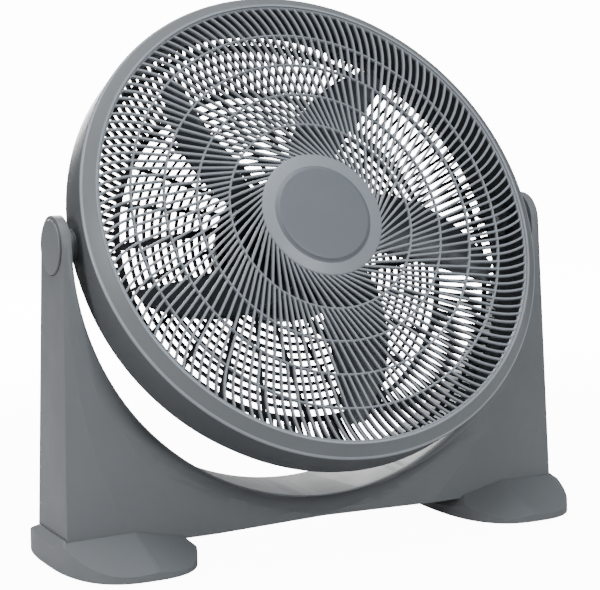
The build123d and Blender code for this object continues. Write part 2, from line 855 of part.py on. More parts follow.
def foot_outline(outer, inner, half_length, nose, side):
    """Plan outline of a foot with its four corners cut back."""
    return [
        (inner + nose, pivot_setback - half_length),
        (outer - nose, pivot_setback - half_length),
        (outer, pivot_setback - half_length + side),
        (outer, pivot_setback + half_length - side),
        (outer - nose, pivot_setback + half_length),
        (inner + nose, pivot_setback + half_length),
        (inner, pivot_setback + half_length - side),
        (inner, pivot_setback - half_length + side),
    ]


def foot_section(height, outer, inner, half_length, share):
    """Sketch of a foot's outline at one height, its cut corners rounded, with a share of their size."""
    with BuildSketch(Plane.XY.offset(height)) as section:
        with BuildLine():
            points = foot_outline(outer, inner, half_length, foot_nose * share, foot_side * share)
            Polyline(*points, close=True)
        make_face()
        fillet(section.vertices(), foot_corner * share)
    return section.sketch


with BuildPart() as foot_right:
    extrude(foot_section(foot_bottom, foot_outer, foot_inner, foot_half_length, 1), amount=skirt_wall)
    loft(
        [
            foot_section(foot_skirt, foot_outer, foot_inner, foot_half_length, 1),
            foot_section(foot_height, foot_top_outer, foot_top_inner, foot_top_half, foot_top_taper),
        ],
        ruled=True,
    )
    with BuildSketch(Plane.XY.offset(base_height)):
        with BuildLine():
            Polyline(*stand_outline(base_height, pocket_gap), close=True)
        make_face()
    extrude(amount=foot_height, mode=Mode.SUBTRACT)
    with BuildSketch(Plane.XY.offset(foot_bottom)):
        with Locations((foot_screw_x, pivot_setback)):
            with GridLocations(1, 2 * foot_screw_y, 1, 2):
                Circle(foot_screw_head + fit_gap)
    extrude(amount=base_height - foot_floor - foot_bottom, mode=Mode.SUBTRACT)
    with BuildSketch(Plane.XY.offset(foot_bottom)):
        with Locations((pad_x, pivot_setback)):
            with GridLocations(1, 2 * pad_y, 1, 2):
                Circle(pad_radius + fit_gap)
    extrude(amount=pad_recess, mode=Mode.SUBTRACT)
    with BuildSketch(Plane.XY.offset(base_height - foot_floor)):
        with Locations((foot_screw_x, pivot_setback)):
            with GridLocations(1, 2 * foot_screw_y, 1, 2):
                Circle(foot_screw_radius + fit_gap)
    extrude(amount=foot_floor, mode=Mode.SUBTRACT)
save(foot_right, "foot_right")
with BuildPart() as foot_left:
    add(mirror(foot_right.part, about=Plane.YZ, mode=Mode.PRIVATE))
save(foot_left, "foot_left")

with BuildPart() as foot_pads:
    with BuildSketch():
        with Locations((0, pivot_setback)):
            with GridLocations(2 * pad_x, 2 * pad_y, 2, 2):
                Circle(pad_radius)
    extrude(amount=pad_height)
save(foot_pads, "foot_pads")

with BuildPart() as foot_screws:
    with BuildSketch(Plane.XY.offset(base_height - foot_floor)):
        with Locations((0, pivot_setback)):
            with GridLocations(2 * foot_screw_x, 2 * foot_screw_y, 2, 2):
                Circle(foot_screw_radius)
    extrude(amount=foot_floor + foot_screw_length - 2)
    with BuildSketch(Plane.XY.offset(base_height - foot_floor)):
        with Locations((0, pivot_setback)):
            with GridLocations(2 * foot_screw_x, 2 * foot_screw_y, 2, 2):
                Circle(foot_screw_head)
    extrude(amount=-screw_head_height)
save(foot_screws, "foot_screws")
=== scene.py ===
"""Round drum floor fan, dressed for the studio.

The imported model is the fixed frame. Copies with soft edges stand in for its plain moulded
nodes. The front grille, the front ring, the rear guard and the feet are modelled here. The sizes of
the pieces are in millimetres, and those of the finishes and the studio in metres. Pieces of the
head are modelled lying flat, facing +Z, with their station counted forward from the tilt axis, and
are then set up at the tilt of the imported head.
"""
import json
import logging
import math
from dataclasses import dataclass
from enum import Enum
from typing import Sequence

import bpy
from mathutils import Matrix, Vector

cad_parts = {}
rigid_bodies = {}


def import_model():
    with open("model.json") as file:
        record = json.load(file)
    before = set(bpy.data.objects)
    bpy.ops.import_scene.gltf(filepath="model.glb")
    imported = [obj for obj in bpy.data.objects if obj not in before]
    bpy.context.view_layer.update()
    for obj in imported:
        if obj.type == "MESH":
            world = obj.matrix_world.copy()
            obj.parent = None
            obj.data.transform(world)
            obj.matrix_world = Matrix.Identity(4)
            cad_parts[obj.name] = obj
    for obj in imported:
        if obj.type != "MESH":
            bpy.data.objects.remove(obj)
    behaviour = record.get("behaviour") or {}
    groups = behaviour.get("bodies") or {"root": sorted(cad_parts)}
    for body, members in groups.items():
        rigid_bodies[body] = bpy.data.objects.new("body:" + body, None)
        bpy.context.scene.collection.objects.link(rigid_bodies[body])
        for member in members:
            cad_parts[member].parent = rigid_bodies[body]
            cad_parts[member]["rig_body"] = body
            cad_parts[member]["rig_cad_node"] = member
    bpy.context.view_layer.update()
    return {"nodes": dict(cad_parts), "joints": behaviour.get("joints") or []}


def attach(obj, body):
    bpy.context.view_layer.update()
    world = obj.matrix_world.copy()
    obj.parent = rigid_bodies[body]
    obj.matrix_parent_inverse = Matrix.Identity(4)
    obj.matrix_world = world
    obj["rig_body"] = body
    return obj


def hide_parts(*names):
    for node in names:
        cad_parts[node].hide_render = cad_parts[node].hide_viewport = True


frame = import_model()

LOG = logging.getLogger("fan")
MM = 0.001
Point = tuple[float, float]
Colour = tuple[float, float, float]
Nodes = bpy.types.Nodes
Links = bpy.types.NodeLinks
Node = bpy.types.Node
Socket = bpy.types.NodeSocket
PATCH_SCALE = 9.0
WIPE_SCALE = 26.0
BAR_ROUNDING = 0.36


class Body(Enum):
    """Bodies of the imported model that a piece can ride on."""

    STAND = "stand"
    HEAD = "head"
    ROTOR = "rotor"
    KNOB = "knob"


class Slot(Enum):
    """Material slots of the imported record."""

    BODY = "body_grey"
    GRILLE = "grille_grey"
    BLADE = "blade_grey"
    DARK = "dark_plastic"
    RUBBER = "pad_rubber"


# Finishes


@dataclass(frozen=True)
class Finish:
    """A solid material whose colour, gloss and surface vary with place.

    Attributes:
        name: Name of the material.
        colour: Base colour, linear.
        drift: Share by which the colour wanders over a broad patch.
        roughness: Lowest and highest roughness over the surface.
        grain: Size of the fine surface grain, in metres.
        relief: Height of the grain, in metres.
        metallic: Metallic share of the shader.
        stretch: How far the pattern is drawn out along X, Y and Z.
        mirror: Strength of the surface reflection.
    """

    name: str
    colour: Colour
    drift: float = 0.06
    roughness: tuple[float, float] = (0.42, 0.5)
    grain: float = 0.0012
    relief: float = 0.00003
    metallic: float = 0.0
    stretch: tuple[float, float, float] = (1.0, 1.0, 1.0)
    mirror: float = 0.5

    def material(self) -> bpy.types.Material:
        """Make the material on its first use.

        Returns:
            The material of this finish.
        """
        made = bpy.data.materials.get(self.name)
        if made is not None:
            return made
        made = bpy.data.materials.new(self.name)
        made.use_nodes = True
        nodes, links = made.node_tree.nodes, made.node_tree.links
        shader = nodes["Principled BSDF"]
        shader.inputs["Metallic"].default_value = self.metallic
        shader.inputs["Specular IOR Level"].default_value = self.mirror
        place = nodes.new("ShaderNodeTexCoord")
        mapping = nodes.new("ShaderNodeMapping")
        mapping.inputs["Scale"].default_value = self.stretch
        links.new(place.outputs["Object"], mapping.inputs["Vector"])
        self._colour(nodes, links, mapping, shader)
        self._gloss(nodes, links, mapping, shader)
        self._grain(nodes, links, mapping, shader)
        return made

    def _colour(self, nodes: Nodes, links: Links, mapping: Node, shader: Node) -> None:
        """Let the base colour wander slowly between a darker and a lighter tone.

        Args:
            nodes: Nodes of the material.
            links: Links of the material.
            mapping: Node that gives the place on the piece.
            shader: Node that takes the result.
        """
        patches = nodes.new("ShaderNodeTexNoise")
        patches.inputs["Scale"].default_value = PATCH_SCALE
        patches.inputs["Detail"].default_value = 4.0
        links.new(mapping.outputs["Vector"], patches.inputs["Vector"])
        ramp = nodes.new("ShaderNodeValToRGB")
        ramp.color_ramp.elements[0].position = 0.3
        ramp.color_ramp.elements[1].position = 0.7
        for element, change in zip(ramp.color_ramp.elements, (1 - self.drift, 1 + self.drift)):
            element.color = (*(min(1.0, part * change) for part in self.colour), 1.0)
        links.new(patches.outputs["Fac"], ramp.inputs["Fac"])
        links.new(ramp.outputs["Color"], shader.inputs["Base Color"])

    def _gloss(self, nodes: Nodes, links: Links, mapping: Node, shader: Node) -> None:
        """Vary the roughness in patches, as handled and wiped plastic does.

        Args:
            nodes: Nodes of the material.
            links: Links of the material.
            mapping: Node that gives the place on the piece.
            shader: Node that takes the result.
        """
        wipes = nodes.new("ShaderNodeTexNoise")
        wipes.inputs["Scale"].default_value = WIPE_SCALE
        wipes.inputs["Detail"].default_value = 3.0
        links.new(mapping.outputs["Vector"], wipes.inputs["Vector"])
        spread = nodes.new("ShaderNodeMapRange")
        spread.inputs["From Min"].default_value = 0.3
        spread.inputs["From Max"].default_value = 0.7
        spread.inputs["To Min"].default_value = self.roughness[0]
        spread.inputs["To Max"].default_value = self.roughness[1]
        links.new(wipes.outputs["Fac"], spread.inputs["Value"])
        links.new(spread.outputs["Result"], shader.inputs["Roughness"])

    def _grain(self, nodes: Nodes, links: Links, mapping: Node, shader: Node) -> None:
        """Raise the fine grain of the surface.

        Args:
            nodes: Nodes of the material.
            links: Links of the material.
            mapping: Node that gives the place on the piece.
            shader: Node that takes the result.
        """
        specks = nodes.new("ShaderNodeTexNoise")
        specks.inputs["Scale"].default_value = 1.0 / self.grain
        specks.inputs["Detail"].default_value = 2.0
        links.new(mapping.outputs["Vector"], specks.inputs["Vector"])
        bump = nodes.new("ShaderNodeBump")
        bump.inputs["Strength"].default_value = 0.5
        bump.inputs["Distance"].default_value = self.relief
        links.new(specks.outputs["Fac"], bump.inputs["Height"])
        links.new(bump.outputs["Normal"], shader.inputs["Normal"])


@dataclass(frozen=True)
class GrooveShadeFinish(Finish):
    """A finish with painted shade: darker in the groove under the lip of the drum arc, where the lip
    casts shade.

    Attributes:
        axis_height: Height of the arc's axis, in metres.
        groove: Radius where the groove starts and how wide it is, in metres.
        fade: Heights between which the groove comes in, in metres.
        depth: Share of the colour that is left in the groove.
        edge: Width over which the groove starts, in metres.
        shade: Colour of the painted shade at the bottom of the groove, linear.
    """

    axis_height: float = 0.320
    groove: Point = (0.2738, 0.016)
    fade: Point = (0.215, 0.130)
    depth: float = 0.42
    edge: float = 0.0004
    shade: Colour = (0.004, 0.004, 0.005)

    def _colour(self, nodes: Nodes, links: Links, mapping: Node, shader: Node) -> None:
        """Paint the shade under the lip over the wandering base colour, darkest in the groove.

        Args:
            nodes: Nodes of the material.
            links: Links of the material.
            mapping: Node that gives the place on the piece.
            shader: Node that takes the result.
        """
        super()._colour(nodes, links, mapping, shader)
        base = shader.inputs["Base Color"].links[0].from_socket
        split = nodes.new("ShaderNodeSeparateXYZ")
        links.new(mapping.outputs["Vector"], split.inputs["Vector"])
        flat = nodes.new("ShaderNodeCombineXYZ")
        links.new(split.outputs["X"], flat.inputs["X"])
        links.new(split.outputs["Z"], flat.inputs["Z"])
        reach = nodes.new("ShaderNodeVectorMath")
        reach.operation = "DISTANCE"
        reach.inputs[1].default_value = (0, 0, self.axis_height)
        links.new(flat.outputs["Vector"], reach.inputs[0])
        start, width = self.groove
        radius = reach.outputs["Value"]
        near = self._ramp(nodes, links, radius, (start - self.edge, start), (0.0, 1.0))
        far = self._ramp(nodes, links, radius, (start, start + width), (1.0, 0.0))
        low = self._ramp(nodes, links, split.outputs["Z"], self.fade, (0.0, 1.0 - self.depth))
        # Strength of the painted shade: inside the groove under the lip and low on the stand.
        dark = near
        for other in (far, far, low):
            product = nodes.new("ShaderNodeMath")
            product.operation = "MULTIPLY"
            links.new(dark, product.inputs[0])
            links.new(other, product.inputs[1])
            dark = product.outputs["Value"]
        # Mix in the painted shade of the groove under the arc's lip.
        mix = nodes.new("ShaderNodeMixRGB")
        mix.inputs["Color2"].default_value = (*self.shade, 1.0)
        links.new(dark, mix.inputs["Fac"])
        links.new(base, mix.inputs["Color1"])
        links.new(mix.outputs["Color"], shader.inputs["Base Color"])

    def _ramp(self, nodes: Nodes, links: Links, value: Socket, span: Point, result: Point) -> Socket:
        """Map a value from one span to another, held at both ends.

        Args:
            nodes: Nodes of the material.
            links: Links of the material.
            value: Socket that gives the value.
            span: Values between which the result changes.
            result: Results at both ends of the span.

        Returns:
            The socket that gives the result.
        """
        ramp = nodes.new("ShaderNodeMapRange")
        for name, number in zip(("From Min", "From Max", "To Min", "To Max"), (*span, *result)):
            ramp.inputs[name].default_value = number
        links.new(value, ramp.inputs["Value"])
        return ramp.outputs["Result"]


SATIN_GREY = Finish("satin_grey", (0.150, 0.157, 0.166), roughness=(0.44, 0.54))
# The stand's finish paints the shade under the drum arc's lip as a dark band in its colour.
STAND_GREY_GROOVE_SHADE = GrooveShadeFinish("stand_grey_groove_shade", (0.150, 0.157, 0.166), roughness=(0.44, 0.54))
RING_GREY = Finish("ring_grey", (0.155, 0.163, 0.173), roughness=(0.36, 0.46), relief=0.00002)
# Light grey of the painted highlight lines along the front ring's outer edge and its lip.
HIGHLIGHT_GREY = Finish("painted_highlight_grey", (0.295, 0.317, 0.350), roughness=(0.30, 0.40), relief=0.00002)
DRUM_GREY = Finish(
    "drum_grey", (0.080, 0.085, 0.092), roughness=(0.40, 0.50), relief=0.00002, mirror=0.35
)
GRILLE_GREY = Finish(
    "satin_grille_grey", (0.248, 0.265, 0.290), roughness=(0.34, 0.44), relief=0.00002
)
HUB_GREY = Finish("hub_grey", (0.138, 0.149, 0.166), roughness=(0.38, 0.46), relief=0.00002)
BLADE_GREY = Finish(
    "satin_blade_grey", (0.042, 0.046, 0.052), roughness=(0.30, 0.40), relief=0.00001, mirror=0.35
)
GUARD_GREY = Finish("guard_grey", (0.012, 0.013, 0.015), roughness=(0.40, 0.52), mirror=0.25)
HOUSING_GREY = Finish("housing_grey", (0.050, 0.053, 0.057), roughness=(0.46, 0.58), relief=0.00006)
PAD_RUBBER = Finish("matt_rubber", (0.012, 0.012, 0.013), roughness=(0.75, 0.9), relief=0.00006)
BRIGHT_STEEL = Finish("bright_steel", (0.56, 0.57, 0.58), 0.03, (0.24, 0.36), 0.0004, 0.00001, 1.0)
SINTERED_BRASS = Finish(
    "sintered_brass", (0.50, 0.34, 0.15), 0.08, (0.35, 0.5), 0.0005, 0.00003, 1.0
)
STACKED_STEEL = Finish(
    "stacked_steel", (0.22, 0.22, 0.23), 0.1, (0.4, 0.6), 0.001, 0.0001, 1.0, (0.05, 1.0, 1.0)
)


# Modelling moves


def clear_bench() -> None:
    """Leave edit mode and deselect everything."""
    if bpy.context.object is not None and bpy.context.object.mode != "OBJECT":
        bpy.ops.object.mode_set(mode="OBJECT")
    bpy.ops.object.select_all(action="DESELECT")


def take(obj: bpy.types.Object) -> None:
    """Select one object alone and make it active.

    Args:
        obj: Object to select.
    """
    clear_bench()
    obj.select_set(True)
    bpy.context.view_layer.objects.active = obj


def edit(obj: bpy.types.Object) -> None:
    """Open one object in edit mode with all of its mesh selected.

    Args:
        obj: Object to open.
    """
    take(obj)
    bpy.ops.object.mode_set(mode="EDIT")
    bpy.ops.mesh.select_mode(type="VERT")
    bpy.ops.mesh.select_all(action="SELECT")


def close_mesh(obj: bpy.types.Object, gap: float = 1e-6) -> None:
    """Merge doubled points and turn every face outwards.

    Args:
        obj: Piece to close.
        gap: Largest distance in metres between points that are merged.
    """
    edit(obj)
    bpy.ops.mesh.remove_doubles(threshold=gap)
    bpy.ops.mesh.select_all(action="SELECT")
    bpy.ops.mesh.normals_make_consistent(inside=False)
    bpy.ops.object.mode_set(mode="OBJECT")


def traced_line(name: str, points: Sequence[Vector], closed: bool) -> bpy.types.Object:
    """Draw a line point by point, left open in edit mode and selected.

    Args:
        name: Name of the new object.
        points: Corners of the line.
        closed: Whether the line comes back to its first point.

    Returns:
        The object that holds the line.
    """
    clear_bench()
    bpy.ops.mesh.primitive_plane_add(size=MM)
    obj = bpy.context.object
    obj.name = name
    edit(obj)
    bpy.ops.mesh.merge(type="CENTER")
    bpy.ops.transform.translate(value=points[0])
    onward = list(points[1:]) + ([points[0]] if closed else [])
    before = points[0]
    for point in onward:
        bpy.ops.mesh.extrude_region_move(TRANSFORM_OT_translate={"value": point - before})
        before = point
    bpy.ops.mesh.select_all(action="SELECT")
    bpy.ops.mesh.remove_doubles(threshold=1e-6)
    bpy.ops.mesh.select_all(action="SELECT")
    return obj


def lathe(name: str, profile: Sequence[Point], steps: int = 192) -> bpy.types.Object:
    """Turn a closed profile about the head axis.

    Args:
        name: Name of the new piece.
        profile: Corners as radius and station, in millimetres.
        steps: Number of steps round the turn.

    Returns:
        The turned piece, lying flat.
    """
    points = [Vector((radius * MM, 0.0, station * MM)) for radius, station in profile]
    obj = traced_line(name, points, closed=True)
    bpy.ops.mesh.spin(steps=steps, angle=math.tau, center=(0, 0, 0), axis=(0, 0, 1))
    close_mesh(obj)
    return obj


def plate(name: str, outline: Sequence[Vector], thickness: float) -> bpy.types.Object:
    """Fill an outline in the XZ plane and give it a thickness along Y, centred on the plane.

    Args:
        name: Name of the new piece.
        outline: Corners of the outline, in metres.
        thickness: Thickness in metres.

    Returns:
        The plate.
    """
    obj = traced_line(name, outline, closed=True)
    bpy.ops.mesh.edge_face_add()
    bpy.ops.transform.translate(value=(0, -thickness / 2, 0))
    bpy.ops.mesh.extrude_region_move(TRANSFORM_OT_translate={"value": (0, thickness, 0)})
    close_mesh(obj)
    return obj


def block(name: str, outline: Sequence[Point], low: float, high: float) -> bpy.types.Object:
    """Raise a block from a plan outline between two heights.

    Args:
        name: Name of the new piece.
        outline: Corners of the plan, in millimetres.
        low: Height of the underside in millimetres.
        high: Height of the top in millimetres.

    Returns:
        The block.
    """
    obj = traced_line(name, [Vector((x * MM, y * MM, low * MM)) for x, y in outline], closed=True)
    bpy.ops.mesh.edge_face_add()
    bpy.ops.mesh.extrude_region_move(TRANSFORM_OT_translate={"value": (0, 0, (high - low) * MM)})
    close_mesh(obj)
    return obj


def cut_away(obj: bpy.types.Object, cutter: bpy.types.Object) -> None:
    """Cut one piece out of another and clear the cutter away.

    Args:
        obj: Piece that is cut.
        cutter: Piece that is taken out of it and then deleted.
    """
    take(obj)
    cut = obj.modifiers.new("cut", "BOOLEAN")
    cut.operation = "DIFFERENCE"
    cut.solver = "EXACT"
    cut.object = cutter
    bpy.ops.object.modifier_apply(modifier=cut.name)
    take(cutter)
    bpy.ops.object.delete()


def turned(angle: float, axis: str, centre: Vector) -> None:
    """Turn the selected mesh counter-clockwise about an axis through a point."""
    bpy.ops.transform.rotate(value=-angle, orient_axis=axis, center_override=centre)


def swept_bar(name: str, path: Sequence[Vector], width: float, depth: float) -> bpy.types.Object:
    """Run a bar with a rounded front along a path that lies flat.

    Args:
        name: Name of the new piece.
        path: Points of the bar's middle line.
        width: Width of the bar.
        depth: Depth of the bar along Z.

    Returns:
        The bar, closed at both ends.
    """
    clear_bench()
    bpy.ops.mesh.primitive_plane_add(size=1.0)
    obj = bpy.context.object
    obj.name = name
    edit(obj)
    bpy.ops.transform.resize(value=(width, depth, 1))
    bpy.ops.object.mode_set(mode="OBJECT")
    for part in (obj.data.polygons, obj.data.edges, obj.data.vertices):
        for item in part:
            item.select = False
    for vertex in obj.data.vertices:
        vertex.select = vertex.co.y > 0
    bpy.ops.object.mode_set(mode="EDIT")
    bpy.ops.mesh.bevel(offset=width * BAR_ROUNDING, segments=2, affect="VERTICES")
    bpy.ops.mesh.select_all(action="SELECT")
    turned(math.pi / 2, "X", Vector())
    bpy.ops.mesh.select_mode(type="FACE")
    headings = [(b - a) for a, b in zip(path, path[1:])]
    angles = [math.atan2(step.y, step.x) for step in headings]
    turned(angles[0] - math.pi / 2, "Z", Vector())
    bpy.ops.transform.translate(value=path[0])
    for index, step in enumerate(headings):
        bpy.ops.mesh.extrude_region_move(TRANSFORM_OT_translate={"value": step})
        if index + 1 < len(headings):
            turned(angles[index + 1] - angles[index], "Z", path[index + 1])
    close_mesh(obj)
    return obj


def ring_of(obj: bpy.types.Object, count: int) -> bpy.types.Object:
    """Repeat a piece evenly round the head axis.

    Args:
        obj: Piece to repeat.
        count: Number of pieces in the ring.

    Returns:
        The same object, now with the whole ring in its mesh.
    """
    edit(obj)
    share = math.tau * (count - 1) / count
    bpy.ops.mesh.spin(
        steps=count - 1,
        angle=share,
        dupli=True,
        use_auto_merge=False,
        center=(0, 0, 0),
        axis=(0, 0, 1),
    )
    bpy.ops.object.mode_set(mode="OBJECT")
    return obj


def round_edges(
    obj: bpy.types.Object, width: float, segments: int = 3, limit: float = 30.0
) -> None:
    """Round the sharp edges of a piece and shade the rest smooth.

    Args:
        obj: Piece to round.
        width: Width of the rounding in metres.
        segments: Steps across the rounding.
        limit: Bend in degrees from which an edge is rounded.
    """
    take(obj)
    bevel = obj.modifiers.new("rounding", "BEVEL")
    bevel.width = width
    bevel.segments = segments
    bevel.limit_method = "ANGLE"
    bevel.angle_limit = math.radians(limit)
    bevel.use_clamp_overlap = True
    bpy.ops.object.modifier_apply(modifier=bevel.name)
    smooth(obj)


def smooth(obj: bpy.types.Object, limit: float = 32.0) -> None:
    """Shade a piece smooth across edges flatter than a limit in degrees."""
    take(obj)
    bpy.ops.object.shade_smooth_by_angle(angle=math.radians(limit))


def joined(name: str, pieces: Sequence[bpy.types.Object]) -> bpy.types.Object:
    """Join pieces into one object.

    Args:
        name: Name of the joined object.
        pieces: Pieces to join.

    Returns:
        The joined object.
    """
    take(pieces[0])
    for piece in pieces:
        piece.select_set(True)
    bpy.ops.object.join()
    pieces[0].name = name
    pieces[0].data.name = name
    return pieces[0]


def node_copy(node: str, name: str, flat: float = 0.5) -> bpy.types.Object:
    """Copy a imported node, merge its loose triangles and clear the lines inside flat faces.

    Args:
        node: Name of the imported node.
        name: Name of the copy.
        flat: Largest bend in degrees that still counts as one flat face.

    Returns:
        The copy, free of any body.
    """
    clear_bench()
    copy = frame["nodes"][node].copy()
    copy.data = frame["nodes"][node].data.copy()
    copy.name = name
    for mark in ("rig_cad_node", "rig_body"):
        del copy[mark]
    copy.parent = None
    copy.data.materials.clear()
    bpy.context.scene.collection.objects.link(copy)
    edit(copy)
    bpy.ops.mesh.remove_doubles(threshold=2e-6)
    bpy.ops.mesh.select_all(action="SELECT")
    bpy.ops.mesh.dissolve_limited(angle_limit=math.radians(flat))
    bpy.ops.object.mode_set(mode="OBJECT")
    return copy


def dress(obj: bpy.types.Object, finish: Finish, slot: Slot, body: Body, *nodes: str) -> None:
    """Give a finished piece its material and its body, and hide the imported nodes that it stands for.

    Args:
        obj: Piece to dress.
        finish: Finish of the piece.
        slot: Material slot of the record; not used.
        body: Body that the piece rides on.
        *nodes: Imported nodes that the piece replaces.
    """
    obj.data.materials.clear()
    obj.data.materials.append(finish.material())
    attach(obj, body.value)
    if nodes:
        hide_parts(*nodes)
    LOG.info("%s: %d faces, rides on %s", obj.name, len(obj.data.polygons), body.value)


# Head


@dataclass(frozen=True)
class HeadStance:
    """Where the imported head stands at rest: its tilt axis and the way that it faces."""

    pivot: Vector
    facing: Vector

    @classmethod
    def from_frame(cls) -> "HeadStance":
        """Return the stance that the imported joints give."""
        spin = next(joint for joint in frame["joints"] if joint["name"] == "fan_spin")
        return cls(Vector(spin["pos_m"]), Vector(spin["axis"]).normalized())

    def set_up(self, obj: bpy.types.Object) -> None:
        """Stand a piece that was modelled lying flat up in the head, and apply its place.

        Args:
            obj: Piece to stand up.
        """
        right = Vector((1, 0, 0))
        up = self.facing.cross(right)
        turn = Matrix((right, up, self.facing)).transposed()
        obj.matrix_world = Matrix.Translation(self.pivot) @ turn.to_4x4()
        take(obj)
        bpy.ops.object.transform_apply(location=True, rotation=True, scale=True)


@dataclass
class FrontGrille:
    """Front grille: hub disc, four thin rings and three families of slanting ribs inside a rim."""

    stance: HeadStance
    front: float = 49.5
    depth: float = 3.6
    hub_radius: float = 68.7
    ring_pitch: float = 35.4
    rim_radius: float = 247.0
    rim_width: float = 4.0
    ring_width: float = 2.4
    rib_width: float = 2.5
    ribs_inner: int = 63
    ribs_middle: int = 110
    ribs_outer: int = 147
    cap_radius: float = 54.8
    cap_bevel: float = 4.5
    cap_height: float = 3.0
    disc_proud: float = 1.0
    bend_start: float = 18.0
    bend_end: float = 34.5

    def rib_line(self, low: float, high: float, bend: bool = False, steps: int = 8) -> list[Vector]:
        """Follow a rib outwards along a straight line that is tangent to the raised disc.

        Args:
            low: Radius where the rib starts.
            high: Radius where the straight part ends.
            bend: Whether the rib goes on to the rim and bends over on the way.
            steps: Steps along each part.

        Returns:
            Points of the rib's middle line, lying flat at the middle of the grille's depth.
        """
        marks = []
        for index in range(steps + 1):
            radius = low + (high - low) * index / steps
            marks.append((radius, math.acos(self.cap_radius / radius)))
        if bend:
            end = self.rim_radius - self.rim_width / 2
            stride = (end - high) / steps
            angle = marks[-1][1]
            for index in range(steps):
                half = index + 0.5
                bent = self.bend_start + (self.bend_end - self.bend_start) * half / steps
                angle += math.tan(math.radians(bent)) * stride / (high + stride * half)
                marks.append((high + stride * (index + 1), angle))
        level = (self.front - self.depth / 2) * MM
        return [
            Vector((radius * math.cos(turn) * MM, radius * math.sin(turn) * MM, level))
            for radius, turn in marks
        ]

    def ribs(self) -> list[bpy.types.Object]:
        """Model one rib of each family and repeat it round the hub.

        Returns:
            The three families of ribs.
        """
        rings = [self.hub_radius + self.ring_pitch * step for step in range(1, 5)]
        families = (
            ("ribs_inner", self.ribs_inner, self.rib_line(self.hub_radius - 1.5, rings[0], steps=3)),
            ("ribs_middle", self.ribs_middle, self.rib_line(rings[0], rings[2], steps=4)),
            ("ribs_outer", self.ribs_outer, self.rib_line(rings[2], rings[3], bend=True)),
        )
        made = []
        for name, count, line in families:
            bar = swept_bar(name, line, self.rib_width * MM, self.depth * MM)
            made.append(ring_of(bar, count))
        return made

    def rings(self) -> list[bpy.types.Object]:
        """Turn the thin rings and the rim.

        Returns:
            The four rings and the rim.
        """
        made = []
        back = self.front - self.depth
        for step in range(1, 5):
            middle = self.hub_radius + self.ring_pitch * step
            half = self.ring_width / 2
            profile = (
                (middle - half, back),
                (middle + half, back),
                (middle + half, self.front - 0.9),
                (middle + half - 0.8, self.front + 0.1),
                (middle - half + 0.8, self.front + 0.1),
                (middle - half, self.front - 0.9),
            )
            made.append(lathe(f"grille_ring_{step}", profile))
        inner = self.rim_radius - self.rim_width
        rim = (
            (inner, back),
            (self.rim_radius, back),
            (self.rim_radius, self.front),
            (inner + 1.0, self.front),
            (inner, self.front - 1.0),
        )
        made.append(lathe("grille_rim", rim))
        return made

    def hub(self) -> bpy.types.Object:
        """Turn the hub disc with its rounded edge.

        Returns:
            The hub disc.
        """
        top = self.front + self.disc_proud
        profile = (
            (0, self.front - self.depth),
            (self.hub_radius - 1, self.front - self.depth),
            (self.hub_radius, self.front - self.depth + 1),
            (self.hub_radius, top - 1.6),
            (self.hub_radius - 0.5, top - 0.6),
            (self.hub_radius - 1.6, top),
            (0, top),
        )
        return lathe("grille_hub", profile)

    def cap(self) -> bpy.types.Object:
        """Turn the raised plain disc on the hub, with a soft bevel.

        Returns:
            The raised disc.
        """
        low = self.front + self.disc_proud
        top = low + self.cap_height
        edge = self.cap_radius - self.cap_bevel
        profile = [(0, low), (self.cap_radius, low), (self.cap_radius - 0.5, low + 0.35)]
        for index in range(7):
            share = index / 6
            ease = share * share * (3 - 2 * share)
            radius = self.cap_radius - 0.9 - (self.cap_bevel - 0.9) * share
            profile.append((radius, low + 0.5 + (self.cap_height - 0.6) * ease))
        profile += [(edge - 1.2, top), (0, top)]
        return lathe("hub_disc", profile)

    def build(self) -> None:
        """Model the grille and its hub disc and stand them up in the head."""
        net = joined("grille_net", self.ribs() + self.rings() + [self.hub()])
        smooth(net, 40)
        self.stance.set_up(net)
        dress(net, GRILLE_GREY, Slot.GRILLE, Body.HEAD, "front_grille")
        disc = self.cap()
        smooth(disc)
        self.stance.set_up(disc)
        dress(disc, HUB_GREY, Slot.GRILLE, Body.HEAD, "hub_cap")


